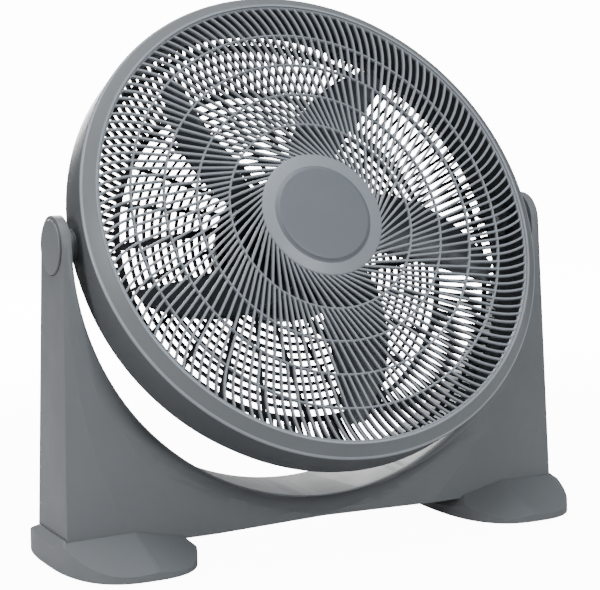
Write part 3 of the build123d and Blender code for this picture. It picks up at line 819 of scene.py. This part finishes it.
@dataclass
class FrontRing:
    """Front ring of the drum: a raised lip round the grille and a sloped face down to the seam."""

    stance: HeadStance
    rim_radius: float = 245.0
    drum_radius: float = 261.0
    front: float = 51.0
    lip_width: float = 3.0
    lip_depth: float = 1.5
    seam: float = 38.4
    edge_depth: float = 2.0
    wall: float = 2.6
    spigot: float = 8.0
    inside: float = 257.7
    bead: float = 2.4
    corner: float = 0.4
    lip_drop: float = 0.15
    highlight_root: float = 0.4
    highlight_steps: int = 8

    def painted_highlight(self, name: str, low: Point, high: Point, proud: float) -> None:
        """Turn a rounded line in a light grey, a painted highlight along an edge, and set it on the
        ring.

        Args:
            name: Name of the new piece.
            low: Radius and station where the line starts.
            high: Radius and station where it ends.
            proud: How far its middle stands out.
        """
        start, end = Vector(low), Vector(high)
        run = end - start
        out = Vector((run.y, -run.x)).normalized()
        line = [start - out * self.highlight_root]
        for index in range(self.highlight_steps + 1):
            share = index / self.highlight_steps
            line.append(start + run * share + out * proud * math.sin(math.pi * share) ** 0.7)
        line.append(end - out * self.highlight_root)
        edge = lathe(name, [tuple(point) for point in line], steps=256)
        smooth(edge, 60)
        self.stance.set_up(edge)
        dress(edge, HIGHLIGHT_GREY, Slot.BODY, Body.HEAD)

    def build(self) -> None:
        """Turn the ring, add its two light lines of painted highlight and stand them up in the head.
        """
        lip = self.rim_radius + self.lip_width
        profile = (
            (self.rim_radius, self.front - self.lip_drop),
            (lip, self.front - self.lip_drop),
            (lip + 0.7, self.front - 1.1),
            (self.drum_radius - self.bead, self.seam + self.edge_depth + self.bead * 0.8),
            (self.drum_radius - self.corner, self.seam + self.edge_depth),
            (self.drum_radius, self.seam + 0.25),
            (self.drum_radius - 0.6, self.seam),
            (self.inside, self.seam),
            (self.inside, self.seam - self.spigot),
            (self.inside - self.wall, self.seam - self.spigot),
            (self.inside - self.wall, self.seam + self.wall),
            (lip - 0.6, self.front - self.lip_depth - self.wall),
            (lip - 0.6, self.front - self.lip_depth),
            (self.rim_radius, self.front - self.lip_depth),
        )
        ring = lathe("front_ring", profile, steps=256)
        round_edges(ring, 0.5 * MM, 3, 24)
        self.stance.set_up(ring)
        dress(ring, RING_GREY, Slot.BODY, Body.HEAD, "bezel_ring")
        low = (self.drum_radius - self.corner, self.seam + self.edge_depth)
        high = (self.drum_radius - self.bead, low[1] + self.bead * 0.8)
        # Painted highlight: light grey lines on the rounded outer edge and on the lip round the
        # grille.
        self.painted_highlight("ring_edge_highlight", low, high, 0.25)
        self.painted_highlight("ring_lip_highlight", (lip - 0.5, self.front), (self.rim_radius + 0.4, self.front), 0.0)


@dataclass
class RearGuard:
    """Rear guard: a seat ring, close ribs round the dish, fine hoops, slanting spokes and a collar."""

    stance: HeadStance
    seat_front: float = -22.0
    seat_radius: float = 252.0
    seat_width: float = 5.0
    seat_depth: float = 4.0
    lugs: int = 6
    lug_circle: float = 246.5
    lug_radius: float = 5.0
    lug_angle: float = 180 / 42
    rib_inset: float = 1.0
    rib_root: float = 7.5
    swell: float = 5.6
    dish: float = 32.0
    dish_hoop: Point = (238.0, -32.5)
    flat_radius: float = 187.0
    band_width: float = 6.0
    flat_depth: float = 4.0
    hoop_width: float = 3.1
    hoop_pitch: float = 9.0
    collar_radius: float = 70.3
    collar_width: float = 9.0
    spokes: int = 6
    spoke_width: float = 7.0
    spoke_slant: float = 17.0
    spoke_angle: float = 49.5
    fine_spokes: int = 3
    fine_spoke_width: float = 3.6
    ribs: int = 154
    rib_width: float = 3.4

    @property
    def flat_front(self) -> float:
        """Front of the flat part."""
        return self.seat_front - self.dish

    @property
    def flat_back(self) -> float:
        """Back of the flat part."""
        return self.flat_front - self.flat_depth

    def swollen(self, start: Point, end: Point, steps: int = 8) -> list[Point]:
        """Follow a line of the section that swells to the back of the guard.

        Args:
            start: Radius and station of the first point.
            end: Radius and station of the last point.
            steps: Steps along the line.

        Returns:
            Points of the line, as radius and station.
        """
        run = Vector((end[0] - start[0], end[1] - start[1]))
        out = Vector((abs(run.y), -abs(run.x))).normalized() * self.swell
        line = []
        for index in range(steps + 1):
            share = index / steps
            reach = 4 * share * (1 - share)
            radius = start[0] + run.x * share + out.x * reach
            line.append((radius, start[1] + run.y * share + out.y * reach))
        return line

    def rib(self) -> bpy.types.Object:
        """Model one rib that swells from the seat ring round the dish to the band.

        Returns:
            The rib.
        """
        edge = self.seat_radius - self.rib_inset
        seat_back = self.seat_front - self.seat_depth
        foot = self.flat_radius + self.band_width / 2
        root = (self.seat_radius - self.rib_root, seat_back + self.seat_depth / 4)
        outline = [(edge, seat_back + self.seat_depth / 2)]
        outline += self.swollen((edge, seat_back), (foot, self.flat_back + 1))
        outline += self.swollen((foot, self.flat_front + 1), root)
        points = [Vector((radius * MM, 0, station * MM)) for radius, station in outline]
        return plate("guard_rib", points, self.rib_width * MM)

    def hoop(self, name: str, low: float, high: float, steps: int = 160) -> bpy.types.Object:
        """Turn one hoop of the flat part, with its rear edges broken.

        Args:
            name: Name of the new piece.
            low: Inner radius.
            high: Outer radius.
            steps: Steps round the hoop.

        Returns:
            The hoop, lying flat.
        """
        profile = (
            (low, self.flat_front),
            (low, self.flat_back + 0.6),
            (low + 0.6, self.flat_back),
            (high - 0.6, self.flat_back),
            (high, self.flat_back + 0.6),
            (high, self.flat_front),
        )
        return lathe(name, profile, steps)

    def hoops(self) -> list[bpy.types.Object]:
        """Turn the hoops, the band, the collar, the hoop in the dish and the seat ring.

        Returns:
            All the turned pieces of the guard.
        """
        start = self.collar_radius + self.collar_width
        count = int((self.flat_radius - start) / self.hoop_pitch)
        made = [
            self.hoop("guard_collar", self.collar_radius, start),
            self.hoop("guard_band", self.flat_radius, self.flat_radius + self.band_width),
        ]
        for index in range(1, count + 1):
            middle = start + (self.flat_radius - start) * index / (count + 1)
            half = self.hoop_width / 2
            made.append(self.hoop(f"guard_hoop_{index}", middle - half, middle + half))
        radius, station = self.dish_hoop
        ring = (
            (radius - 2.5, station + 2),
            (radius - 2.5, station - 1.4),
            (radius - 1.9, station - 2),
            (radius + 2.5, station - 2),
            (radius + 2.5, station + 2),
        )
        made.append(lathe("guard_dish_hoop", ring))
        inside = self.seat_radius - self.seat_width
        seat = (
            (inside, self.seat_front),
            (inside, self.seat_front - self.seat_depth),
            (self.seat_radius - 0.8, self.seat_front - self.seat_depth),
            (self.seat_radius, self.seat_front - self.seat_depth + 0.8),
            (self.seat_radius, self.seat_front),
        )
        made.append(lathe("guard_seat", seat))
        return made

    def lug(self) -> bpy.types.Object:
        """Model one screw lug on the inside of the seat ring.

        Returns:
            The lug.
        """
        clear_bench()
        bpy.ops.mesh.primitive_cylinder_add(
            vertices=32, radius=self.lug_radius * MM, depth=self.seat_depth * MM
        )
        lug = bpy.context.object
        lug.name = "guard_lug"
        round_edges(lug, 0.4 * MM, 2)
        edit(lug)
        station = self.seat_front - self.seat_depth / 2
        bpy.ops.transform.translate(value=(self.lug_circle * MM, 0, station * MM))
        turned(math.radians(self.lug_angle), "Z", Vector())
        bpy.ops.object.mode_set(mode="OBJECT")
        return lug

    def spoke(self, name: str, width: float, angle: float) -> bpy.types.Object:
        """Model one slanting spoke as a bar between the collar and the band.

        Args:
            name: Name of the new object.
            width: Width of the bar in millimetres.
            angle: Angle of its middle round the guard in degrees.

        Returns:
            The bar, lying flat in its place.
        """
        clear_bench()
        slant = math.radians(self.spoke_slant)
        middle = (self.collar_radius + self.flat_radius) / 2
        length = (self.flat_radius - self.collar_radius) / math.cos(slant) + 3
        bpy.ops.mesh.primitive_cube_add(size=1.0)
        bar = bpy.context.object
        bar.name = name
        edit(bar)
        bpy.ops.transform.resize(value=(length * MM, width * MM, self.flat_depth * MM * 0.94))
        bpy.ops.object.mode_set(mode="OBJECT")
        round_edges(bar, 0.7 * MM, 2)
        edit(bar)
        turned(slant, "Z", Vector())
        station = (self.flat_front + self.flat_back) / 2
        bpy.ops.transform.translate(value=(middle * MM, 0, station * MM))
        turned(math.radians(angle), "Z", Vector())
        bpy.ops.object.mode_set(mode="OBJECT")
        return bar

    def build(self) -> None:
        """Model the guard and stand it up in the head."""
        pieces = [ring_of(self.rib(), self.ribs), ring_of(self.lug(), self.lugs)]
        spoke = self.spoke("guard_spoke", self.spoke_width, self.spoke_angle)
        pieces.append(ring_of(spoke, self.spokes))
        step = 360 / self.spokes / (self.fine_spokes + 1)
        for index in range(1, self.fine_spokes + 1):
            angle = self.spoke_angle + step * index
            bar = self.spoke(f"guard_fine_spoke_{index}", self.fine_spoke_width, angle)
            pieces.append(ring_of(bar, self.spokes))
        guard = joined("guard_net", pieces + self.hoops())
        smooth(guard, 40)
        self.stance.set_up(guard)
        dress(guard, GUARD_GREY, Slot.DARK, Body.HEAD, "rear_guard")


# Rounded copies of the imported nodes


@dataclass(frozen=True)
class RoundedNode:
    """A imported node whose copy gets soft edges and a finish.

    Attributes:
        node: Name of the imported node.
        piece: Name of the piece that stands for it.
        finish: Finish of the piece.
        slot: Material slot of the record.
        body: Body that the piece rides on.
        edge: Width of the rounded edges in millimetres, or nought to leave them.
        limit: Bend in degrees from which an edge is rounded.
    """

    node: str
    piece: str
    finish: Finish
    slot: Slot
    body: Body
    edge: float
    limit: float = 30.0

    def build(self) -> None:
        """Copy the node, round it and put it in place of the node."""
        copy = node_copy(self.node, self.piece)
        if self.edge > 0:
            round_edges(copy, self.edge * MM, 3, self.limit)
        else:
            smooth(copy)
        dress(copy, self.finish, self.slot, self.body, self.node)


@dataclass(frozen=True)
class CreasedStand:
    """Stand moulding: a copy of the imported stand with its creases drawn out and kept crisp.

    Attributes:
        pivot: Depth and height of the tilt axis.
        base: Height of the underside.
        arc: Radius of the drum arc with its lip.
        width: Half width at the tilt axis and at the base.
        depth: Half depth at the tilt axis and at the base.
        spread: How far each crease has moved inwards at the base.
        start: How far each crease lies inwards at the tilt axis.
        lift: How far each crease is drawn out at the base.
        curl: Power by which the creases swing inwards on their way down.
        swell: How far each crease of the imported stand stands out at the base.
        dip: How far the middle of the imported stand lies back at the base.
        skin: Depth below the plain face that still counts as the face.
        near: Distance from a crease within which a point lies on it.
        edge: Width of the rounded edges.
    """

    pivot: Point = (7.5, 320.0)
    base: float = 22.0
    arc: float = 275.0
    width: Point = (281.5, 288.0)
    depth: Point = (31.5, 42.0)
    spread: Point = (66.0, 155.0)
    start: Point = (2.4, 4.75)
    lift: Point = (3.2, 3.6)
    curl: float = 2.4
    swell: Point = (3.0, 4.0)
    dip: float = 3.0
    skin: float = 0.6
    near: float = 0.8
    edge: float = 1.6

    def drop(self, height: float) -> float:
        """Share of the way down from the tilt axis to the base."""
        return min(1.0, max(0.0, (self.pivot[1] - height) / (self.pivot[1] - self.base)))

    def creases(self, height: float) -> Point:
        """Find both creases at one height.

        Args:
            height: Height above the floor.

        Returns:
            Distance of the outer and the inner crease from the middle.
        """
        drop = self.drop(height)
        width = self.width[0] + (self.width[1] - self.width[0]) * drop
        outer, inner = (
            width - spread * drop**self.curl - start
            for spread, start in zip(self.spread, self.start)
        )
        return outer, inner

    def outline(self, grow: float) -> list[Point]:
        """Draw the plan of the stand at its base.

        Args:
            grow: Gap by which the plan is deeper and wider than the stand.

        Returns:
            Corners of the plan.
        """
        outer, inner = self.creases(self.base)
        depth = self.depth[1] + grow
        half = [
            (self.width[1] + grow, depth),
            (outer, depth + self.swell[0] + self.lift[0]),
            (inner, depth + self.swell[1] + self.lift[1]),
            (0.0, depth - self.dip),
        ]
        front = half + [(-x, y) for x, y in half[2::-1]]
        back = [(x, -y) for x, y in reversed(front)]
        return [(x, self.pivot[0] + y) for x, y in front + back]

    def on_skin(self, place: Vector) -> bool:
        """Tell whether a point lies on the front or back face, clear of the arc's lip.

        Args:
            place: The point, in metres.

        Returns:
            True on either face.
        """
        if math.hypot(place.x / MM, place.z / MM - self.pivot[1]) < self.arc:
            return False
        drop = self.drop(place.z / MM)
        face = self.depth[0] + (self.depth[1] - self.depth[0]) * drop
        return drop > 0 and abs(place.y / MM - self.pivot[0]) > face - self.skin

    def pull(self, place: Vector) -> float:
        """Find how far a point of the front or back face is drawn out.

        Args:
            place: The point, in metres.

        Returns:
            Share of the full lift.
        """
        across = abs(place.x / MM)
        drop = self.drop(place.z / MM)
        outer, inner = self.creases(place.z / MM)
        width = self.width[0] + (self.width[1] - self.width[0]) * drop
        rise = [lift / max(self.lift) for lift in self.lift]
        marks = ((0.0, 0.0), (inner, rise[1]), (outer, rise[0]), (width, 0.0))
        for low, high in zip(marks, marks[1:]):
            if across <= high[0]:
                share = (across - low[0]) / max(high[0] - low[0], 1e-6)
                return (low[1] + (high[1] - low[1]) * share) * drop
        return 0.0

    def draw_out(self, obj: bpy.types.Object) -> None:
        """Draw the creases of both faces out along Y.

        Args:
            obj: Copy of the stand.
        """
        for name, sign in (("front_face", -1), ("back_face", 1)):
            group = obj.vertex_groups.new(name=name)
            for vertex in obj.data.vertices:
                if (vertex.co.y / MM - self.pivot[0]) * sign > 0 and self.on_skin(vertex.co):
                    group.add([vertex.index], self.pull(vertex.co), "REPLACE")
            take(obj)
            lift = obj.modifiers.new(name, "DISPLACE")
            lift.direction = "Y"
            lift.mid_level = 0.0
            lift.strength = sign * max(self.lift) * MM
            lift.vertex_group = name
            bpy.ops.object.modifier_apply(modifier=lift.name)

    def on_crease(self, place: Vector) -> bool:
        """Whether a point lies on a crease."""
        gaps = [abs(abs(place.x / MM) - line) for line in self.creases(place.z / MM)]
        return self.on_skin(place) and min(gaps) < self.near

    def keep_crisp(self, obj: bpy.types.Object) -> None:
        """Mark the edges along the creases sharp.

        Args:
            obj: Copy of the stand.
        """
        take(obj)
        places = obj.data.vertices
        for part in (obj.data.polygons, obj.data.vertices):
            for item in part:
                item.select = False
        for line in obj.data.edges:
            line.select = all(self.on_crease(places[index].co) for index in line.vertices)
        bpy.ops.object.mode_set(mode="EDIT")
        bpy.ops.mesh.select_mode(type="EDGE")
        bpy.ops.mesh.mark_sharp()
        bpy.ops.object.mode_set(mode="OBJECT")

    def build(self) -> None:
        """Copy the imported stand, draw its creases out and round its edges."""
        stand = node_copy("stand_frame", "stand_moulding")
        self.draw_out(stand)
        round_edges(stand, self.edge * MM)
        self.keep_crisp(stand)
        # The stand's finish carries painted shade in the groove under the arc's lip.
        dress(stand, STAND_GREY_GROOVE_SHADE, Slot.BODY, Body.STAND, "stand_frame")


@dataclass(frozen=True)
class CapShadeRing:
    """Dark ring round the cover cap on the outside of a leg, painted shade of the gap between the cap
    and the leg.

    Attributes:
        side: Minus one for the left leg, one for the right leg.
        place: Distance from the middle, depth and height of the cap's middle.
        radius: Radius of the seam.
        width: Half width of the seam.
        lean: Lean of the leg's outer face in degrees.
    """

    side: int
    place: tuple[float, float, float] = (281.35, 7.5, 320.0)
    radius: float = 28.1
    width: float = 0.45
    lean: float = 1.25

    def build(self) -> None:
        """Lay the dark ring of painted shade round the cap."""
        clear_bench()
        bpy.ops.mesh.primitive_torus_add(
            major_segments=96,
            minor_segments=10,
            major_radius=self.radius * MM,
            minor_radius=self.width * MM,
        )
        seam = bpy.context.object
        seam.name = "cap_shade_ring_left" if self.side < 0 else "cap_shade_ring_right"
        edit(seam)
        turned(self.side * (math.pi / 2 - math.radians(self.lean)), "Y", Vector())
        across, deep, high = self.place
        bpy.ops.transform.translate(value=(self.side * across * MM, deep * MM, high * MM))
        bpy.ops.object.mode_set(mode="OBJECT")
        smooth(seam, 60)
        # The near black finish paints the shade of the gap round the cap.
        dress(seam, GUARD_GREY, Slot.DARK, Body.STAND)


@dataclass(frozen=True)
class Foot:
    """Foot: a skirt with a rounded outline under a creased top that falls away from the leg.

    Attributes:
        side: Minus one for the left foot, one for the right foot.
        stand: The stand whose leg the pocket takes.
        middle: Middle of the plan.
        half: Half width and half length of the plan.
        underside: Height of the underside.
        ridge: Where the ridge starts, across from the middle of the stand and away from its plane.
        slopes: Height at the ridge's start and slope in width and in depth of the outer side, of the
            front on both sides of the ridge, and of the inner side.
        corners: Upper edge of the top inside the pocket, from the outer side round to the inner side.
        square: Power of the rounded outline, where two is an ellipse.
        steps: Steps round the outline.
        bore: Screw bore: place across, radius, distance from the middle plane and top.
        recess: Pad recess, in the same order.
        pocket_gap: Gap between the pocket and the leg.
        pocket_top: Height up to which the pocket is cut.
        edge: Width of the rounded edges.
        crisp: Bend in degrees from which an edge stays crisp.
    """

    side: int
    stand: CreasedStand
    middle: Point = (224.5, 7.5)
    half: Point = (71.4, 112.0)
    underside: float = 2.5
    ridge: Point = (219.0, 48.0)
    slopes: tuple[tuple[float, float, float], ...] = (
        (131.5, -1.37, 0.0),
        (36.0, -0.08, -0.392),
        (36.0, 0.196, -0.392),
        (77.0, 1.0, 0.0),
    )
    corners: tuple[Point, ...] = (
        (290.0, 0.0),
        (290.0, 38.0),
        (219.0, 44.0),
        (169.6, 44.0),
        (169.6, 0.0),
    )
    square: float = 2.7
    steps: int = 192
    bore: tuple[float, float, float, float] = (250.0, 5.3, 18.0, 17.0)
    recess: tuple[float, float, float, float] = (226.0, 11.3, 82.0, 4.0)
    pocket_gap: float = 0.4
    pocket_top: float = 60.0
    edge: float = 2.0
    crisp: float = 7.0

    def heights(self, x: float, away: float) -> list[float]:
        """Find the height of each slope of the top at a place in the plan.

        Args:
            x: Distance from the middle of the stand.
            away: Distance from the middle plane of the foot.

        Returns:
            One height for each slope.
        """
        return [
            high + across * (x - self.ridge[0]) + deep * (away - self.ridge[1])
            for high, across, deep in self.slopes
        ]

    def half_lines(self) -> tuple[list[Vector], list[Vector]]:
        """Draw the rear half of the foot.

        Returns:
            Points along the skirt's edge, and along the upper edge of the top.
        """
        runs = [[] for _ in self.slopes]
        for index in range(self.steps // 2):
            turn = math.tau * (index + 0.5) / self.steps
            across, deep = (
                math.copysign(abs(part) ** (2 / self.square), part)
                for part in (math.cos(turn), math.sin(turn))
            )
            x, away = self.middle[0] + self.half[0] * across, self.half[1] * deep
            heights = self.heights(x, away)
            runs[heights.index(min(heights))].append((x, away))
        edge, upper = [], []
        for run, start, end in zip(runs, self.corners, self.corners[1:]):
            for index, place in enumerate(run):
                share = (index + 0.5) / len(run)
                inner = tuple(a + (b - a) * share for a, b in zip(start, end))
                edge.append(Vector((*place, min(self.heights(*place)))))
                upper.append(Vector((*inner, min(self.heights(*inner)))))
        return edge, upper

    def whole_line(self, half: Sequence[Vector]) -> list[Vector]:
        """Close a half line round the front of the foot and put it on the foot's side.

        Args:
            half: Points of the rear half, in millimetres.

        Returns:
            Points of the whole line, in metres.
        """
        ahead = [Vector((point.x, -point.y, point.z)) for point in reversed(half)]
        shift = Vector((0, self.middle[1], 0))
        return [(Vector((self.side * p.x, p.y, p.z)) + shift) * MM for p in (*half, *ahead)]

    def cutter(self) -> bpy.types.Object:
        """Model the leg's pocket, the screw bores and the pad recesses as one cutter.

        Returns:
            The cutter.
        """
        cuts = [block("pocket", self.stand.outline(self.pocket_gap), self.stand.base, self.pocket_top)]
        for x, radius, away, top in (self.bore, self.recess):
            for way in (-1, 1):
                clear_bench()
                bpy.ops.mesh.primitive_cylinder_add(
                    vertices=48, radius=radius * MM, depth=(top + 1) * MM
                )
                bore = bpy.context.object
                edit(bore)
                place = (self.side * x * MM, (self.middle[1] + way * away) * MM, (top - 1) / 2 * MM)
                bpy.ops.transform.translate(value=place)
                bpy.ops.object.mode_set(mode="OBJECT")
                cuts.append(bore)
        return joined("foot_cutter", cuts)

    def solid(self, name: str) -> bpy.types.Object:
        """Draw the skirt down, bridge it to the upper edge of the top and close both ends.

        Args:
            name: Name of the new piece.

        Returns:
            The foot without its pocket, bores and recesses.
        """
        edge, upper = self.half_lines()
        foot = traced_line(name, self.whole_line(edge), closed=True)
        bpy.ops.mesh.extrude_region_move(TRANSFORM_OT_translate={"value": (0, 0, 0)})
        bpy.ops.transform.resize(value=(1, 1, 0), center_override=(0, 0, self.underside * MM))
        bpy.ops.mesh.edge_face_add()
        crown = traced_line("foot_crown", self.whole_line(upper), closed=True)
        foot = joined(name, [foot, crown])
        edit(foot)
        bpy.ops.mesh.select_mode(type="EDGE")
        for close in (bpy.ops.mesh.bridge_edge_loops, bpy.ops.mesh.edge_face_add):
            bpy.ops.mesh.select_all(action="DESELECT")
            bpy.ops.mesh.select_non_manifold(
                use_multi_face=False, use_non_contiguous=False, use_verts=False
            )
            close()
        close_mesh(foot)
        return foot

    def build(self) -> None:
        """Model the foot, cut its pocket and round its edges."""
        name = "left" if self.side < 0 else "right"
        foot = self.solid(f"foot_moulding_{name}")
        cut_away(foot, self.cutter())
        round_edges(foot, self.edge * MM, 4)
        smooth(foot, self.crisp)
        dress(foot, SATIN_GREY, Slot.BODY, Body.STAND, f"foot_{name}")


ROUNDED = (
    RoundedNode("tilt_cap_left", "leg_cap_left", SATIN_GREY, Slot.BODY, Body.STAND, 0.8),
    RoundedNode("tilt_cap_right", "leg_cap_right", SATIN_GREY, Slot.BODY, Body.STAND, 0.8),
    RoundedNode("drum_shell", "drum_moulding", DRUM_GREY, Slot.BODY, Body.HEAD, 0.6, 18.0),
    RoundedNode("impeller", "fan_moulding", BLADE_GREY, Slot.BLADE, Body.ROTOR, 0.0),
    RoundedNode("motor_housing", "motor_moulding", HOUSING_GREY, Slot.DARK, Body.HEAD, 0.5),
    RoundedNode("speed_knob", "knob_moulding", HOUSING_GREY, Slot.DARK, Body.KNOB, 0.6),
    RoundedNode("cord_inlet", "inlet_moulding", GUARD_GREY, Slot.DARK, Body.HEAD, 0.6),
    RoundedNode("foot_pads", "pad_mouldings", PAD_RUBBER, Slot.RUBBER, Body.STAND, 0.5),
)
PLAIN_FINISHES = {
    "foot_screws": BRIGHT_STEEL,
    "tilt_pin_left": BRIGHT_STEEL,
    "tilt_pin_right": BRIGHT_STEEL,
    "tilt_spacer_left": SATIN_GREY,
    "tilt_spacer_right": SATIN_GREY,
    "guard_screws": BRIGHT_STEEL,
    "motor_stator": STACKED_STEEL,
    "shaft_bushes": SINTERED_BRASS,
    "stator_screws": BRIGHT_STEEL,
    "flange_screws": BRIGHT_STEEL,
    "speed_switch": GUARD_GREY,
    "run_capacitor": GUARD_GREY,
    "motor_shaft": BRIGHT_STEEL,
    "motor_rotor": STACKED_STEEL,
    "impeller_nut": BLADE_GREY,
}


def finish_plain_nodes() -> None:
    """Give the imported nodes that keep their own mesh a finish."""
    for name, finish in PLAIN_FINISHES.items():
        node = frame["nodes"][name]
        node.data.materials.clear()
        node.data.materials.append(finish.material())


# Studio


@dataclass(frozen=True)
class StudioCamera:
    """Camera at the photograph's viewing angle, with the frame's middle moved off the lens axis."""

    place: Vector = Vector((-0.8661, -1.6540, 0.4838))
    yaw: float = 28.0
    pitch: float = -4.14
    roll: float = -0.78
    focal_pixels: float = 1765.4
    centre: Point = (317.5, 205.7)
    image: Point = (600.0, 590.0)

    def build(self) -> None:
        """Set the camera up and make it the scene's own."""
        yaw, pitch, roll = (math.radians(angle) for angle in (self.yaw, self.pitch, self.roll))
        level = math.cos(pitch)
        ahead = Vector((math.sin(yaw) * level, math.cos(yaw) * level, math.sin(pitch)))
        right = Vector((math.cos(yaw), -math.sin(yaw), 0))
        up = right.cross(ahead)
        level_right = right * math.cos(roll) + up * math.sin(roll)
        level_up = up * math.cos(roll) - right * math.sin(roll)
        turn = Matrix((level_right, level_up, -ahead)).transposed()
        lens = bpy.data.cameras.new("studio_camera")
        lens.sensor_width = 36.0
        lens.lens = lens.sensor_width * self.focal_pixels / self.image[0]
        lens.shift_x = (self.image[0] / 2 - self.centre[0]) / self.image[0]
        lens.shift_y = (self.centre[1] - self.image[1] / 2) / self.image[0]
        camera = bpy.data.objects.new("studio_camera", lens)
        camera.matrix_world = Matrix.Translation(self.place) @ turn.to_4x4()
        bpy.context.scene.collection.objects.link(camera)
        bpy.context.scene.camera = camera


@dataclass(frozen=True)
class SoftBox:
    """One soft light: where it stands, what it is turned to, its size and its power."""

    name: str
    place: Vector
    target: Vector
    size: float
    power: float
    colour: Colour = (1.0, 1.0, 1.0)

    def build(self) -> None:
        """Hang the light."""
        lamp = bpy.data.lights.new(self.name, "AREA")
        lamp.shape = "DISK"
        lamp.size = self.size
        lamp.energy = self.power
        lamp.color = self.colour
        box = bpy.data.objects.new(self.name, lamp)
        box.location = self.place
        box.rotation_euler = (self.target - self.place).to_track_quat("-Z", "Y").to_euler()
        bpy.context.scene.collection.objects.link(box)


@dataclass
class Studio:
    """Pale floor, white surroundings and soft lights."""

    floor_radius: float = 12.0
    fade_start: float = 0.45
    fade_end: float = 1.6
    surround: float = 0.2
    backdrop: float = 14.0
    floor_glow: float = 12.0
    floor_tone: float = 0.5
    floor_roughness: float = 0.9

    def floor(self) -> None:
        """Lay a pale floor that runs out into the white surroundings."""
        clear_bench()
        bpy.ops.mesh.primitive_circle_add(vertices=96, radius=self.floor_radius, fill_type="NGON")
        floor = bpy.context.object
        floor.name = "studio_floor"
        paint = bpy.data.materials.new("studio_floor")
        paint.use_nodes = True
        nodes, links = paint.node_tree.nodes, paint.node_tree.links
        shader = nodes["Principled BSDF"]
        shader.inputs["Base Color"].default_value = (*[self.floor_tone] * 3, 1)
        shader.inputs["Roughness"].default_value = self.floor_roughness
        shader.inputs["Emission Color"].default_value = (1, 1, 1, 1)
        place = nodes.new("ShaderNodeTexCoord")
        reach = nodes.new("ShaderNodeVectorMath")
        reach.operation = "LENGTH"
        links.new(place.outputs["Object"], reach.inputs[0])
        fade = nodes.new("ShaderNodeMapRange")
        fade.interpolation_type = "SMOOTHSTEP"
        fade.inputs["From Min"].default_value = self.fade_start
        fade.inputs["From Max"].default_value = self.fade_end
        fade.inputs["To Min"].default_value = self.floor_glow
        fade.inputs["To Max"].default_value = self.backdrop
        links.new(reach.outputs["Value"], fade.inputs["Value"])
        path = nodes.new("ShaderNodeLightPath")
        seen = nodes.new("ShaderNodeMath")
        seen.operation = "MULTIPLY"
        links.new(path.outputs["Is Camera Ray"], seen.inputs[0])
        links.new(fade.outputs["Result"], seen.inputs[1])
        links.new(seen.outputs["Value"], shader.inputs["Emission Strength"])
        floor.data.materials.append(paint)

    def surroundings(self) -> None:
        """Light the scene evenly from all round, before a bright backdrop."""
        world = bpy.data.worlds.new("studio_surround")
        world.use_nodes = True
        nodes, links = world.node_tree.nodes, world.node_tree.links
        sky = nodes["Background"]
        sky.inputs["Color"].default_value = (1, 1, 1, 1)
        sky.inputs["Strength"].default_value = self.surround
        backdrop = nodes.new("ShaderNodeBackground")
        backdrop.inputs["Color"].default_value = (1, 1, 1, 1)
        backdrop.inputs["Strength"].default_value = self.backdrop
        path = nodes.new("ShaderNodeLightPath")
        choice = nodes.new("ShaderNodeMixShader")
        links.new(path.outputs["Is Camera Ray"], choice.inputs["Fac"])
        links.new(sky.outputs["Background"], choice.inputs[1])
        links.new(backdrop.outputs["Background"], choice.inputs[2])
        links.new(choice.outputs["Shader"], nodes["World Output"].inputs["Surface"])
        bpy.context.scene.world = world

    def build(self) -> None:
        """Set the studio up."""
        self.floor()
        self.surroundings()
        middle = Vector((0, 0, 0.3))
        cool = (0.92, 0.97, 1.0)
        SoftBox("top_light", Vector((-0.3, -0.3, 2.5)), middle, 2.0, 58, cool).build()
        SoftBox("left_light", Vector((-2.6, -0.2, 0.9)), middle, 1.2, 38).build()
        SoftBox("front_light", Vector((0.7, -2.6, 1.4)), middle, 1.0, 38, cool).build()
        SoftBox("back_light", Vector((0.3, 2.2, 1.1)), middle, 1.4, 70).build()
        StudioCamera().build()


def main() -> None:
    """Build the studio and every piece of the fan."""
    logging.basicConfig(level=logging.INFO, format="%(message)s")
    stance = HeadStance.from_frame()
    Studio().build()
    FrontGrille(stance).build()
    FrontRing(stance).build()
    RearGuard(stance).build()
    stand = CreasedStand()
    stand.build()
    for side in (-1, 1):
        Foot(side, stand).build()
        CapShadeRing(side).build()
    for rounded in ROUNDED:
        rounded.build()
    finish_plain_nodes()


if __name__ == "__main__":
    main()
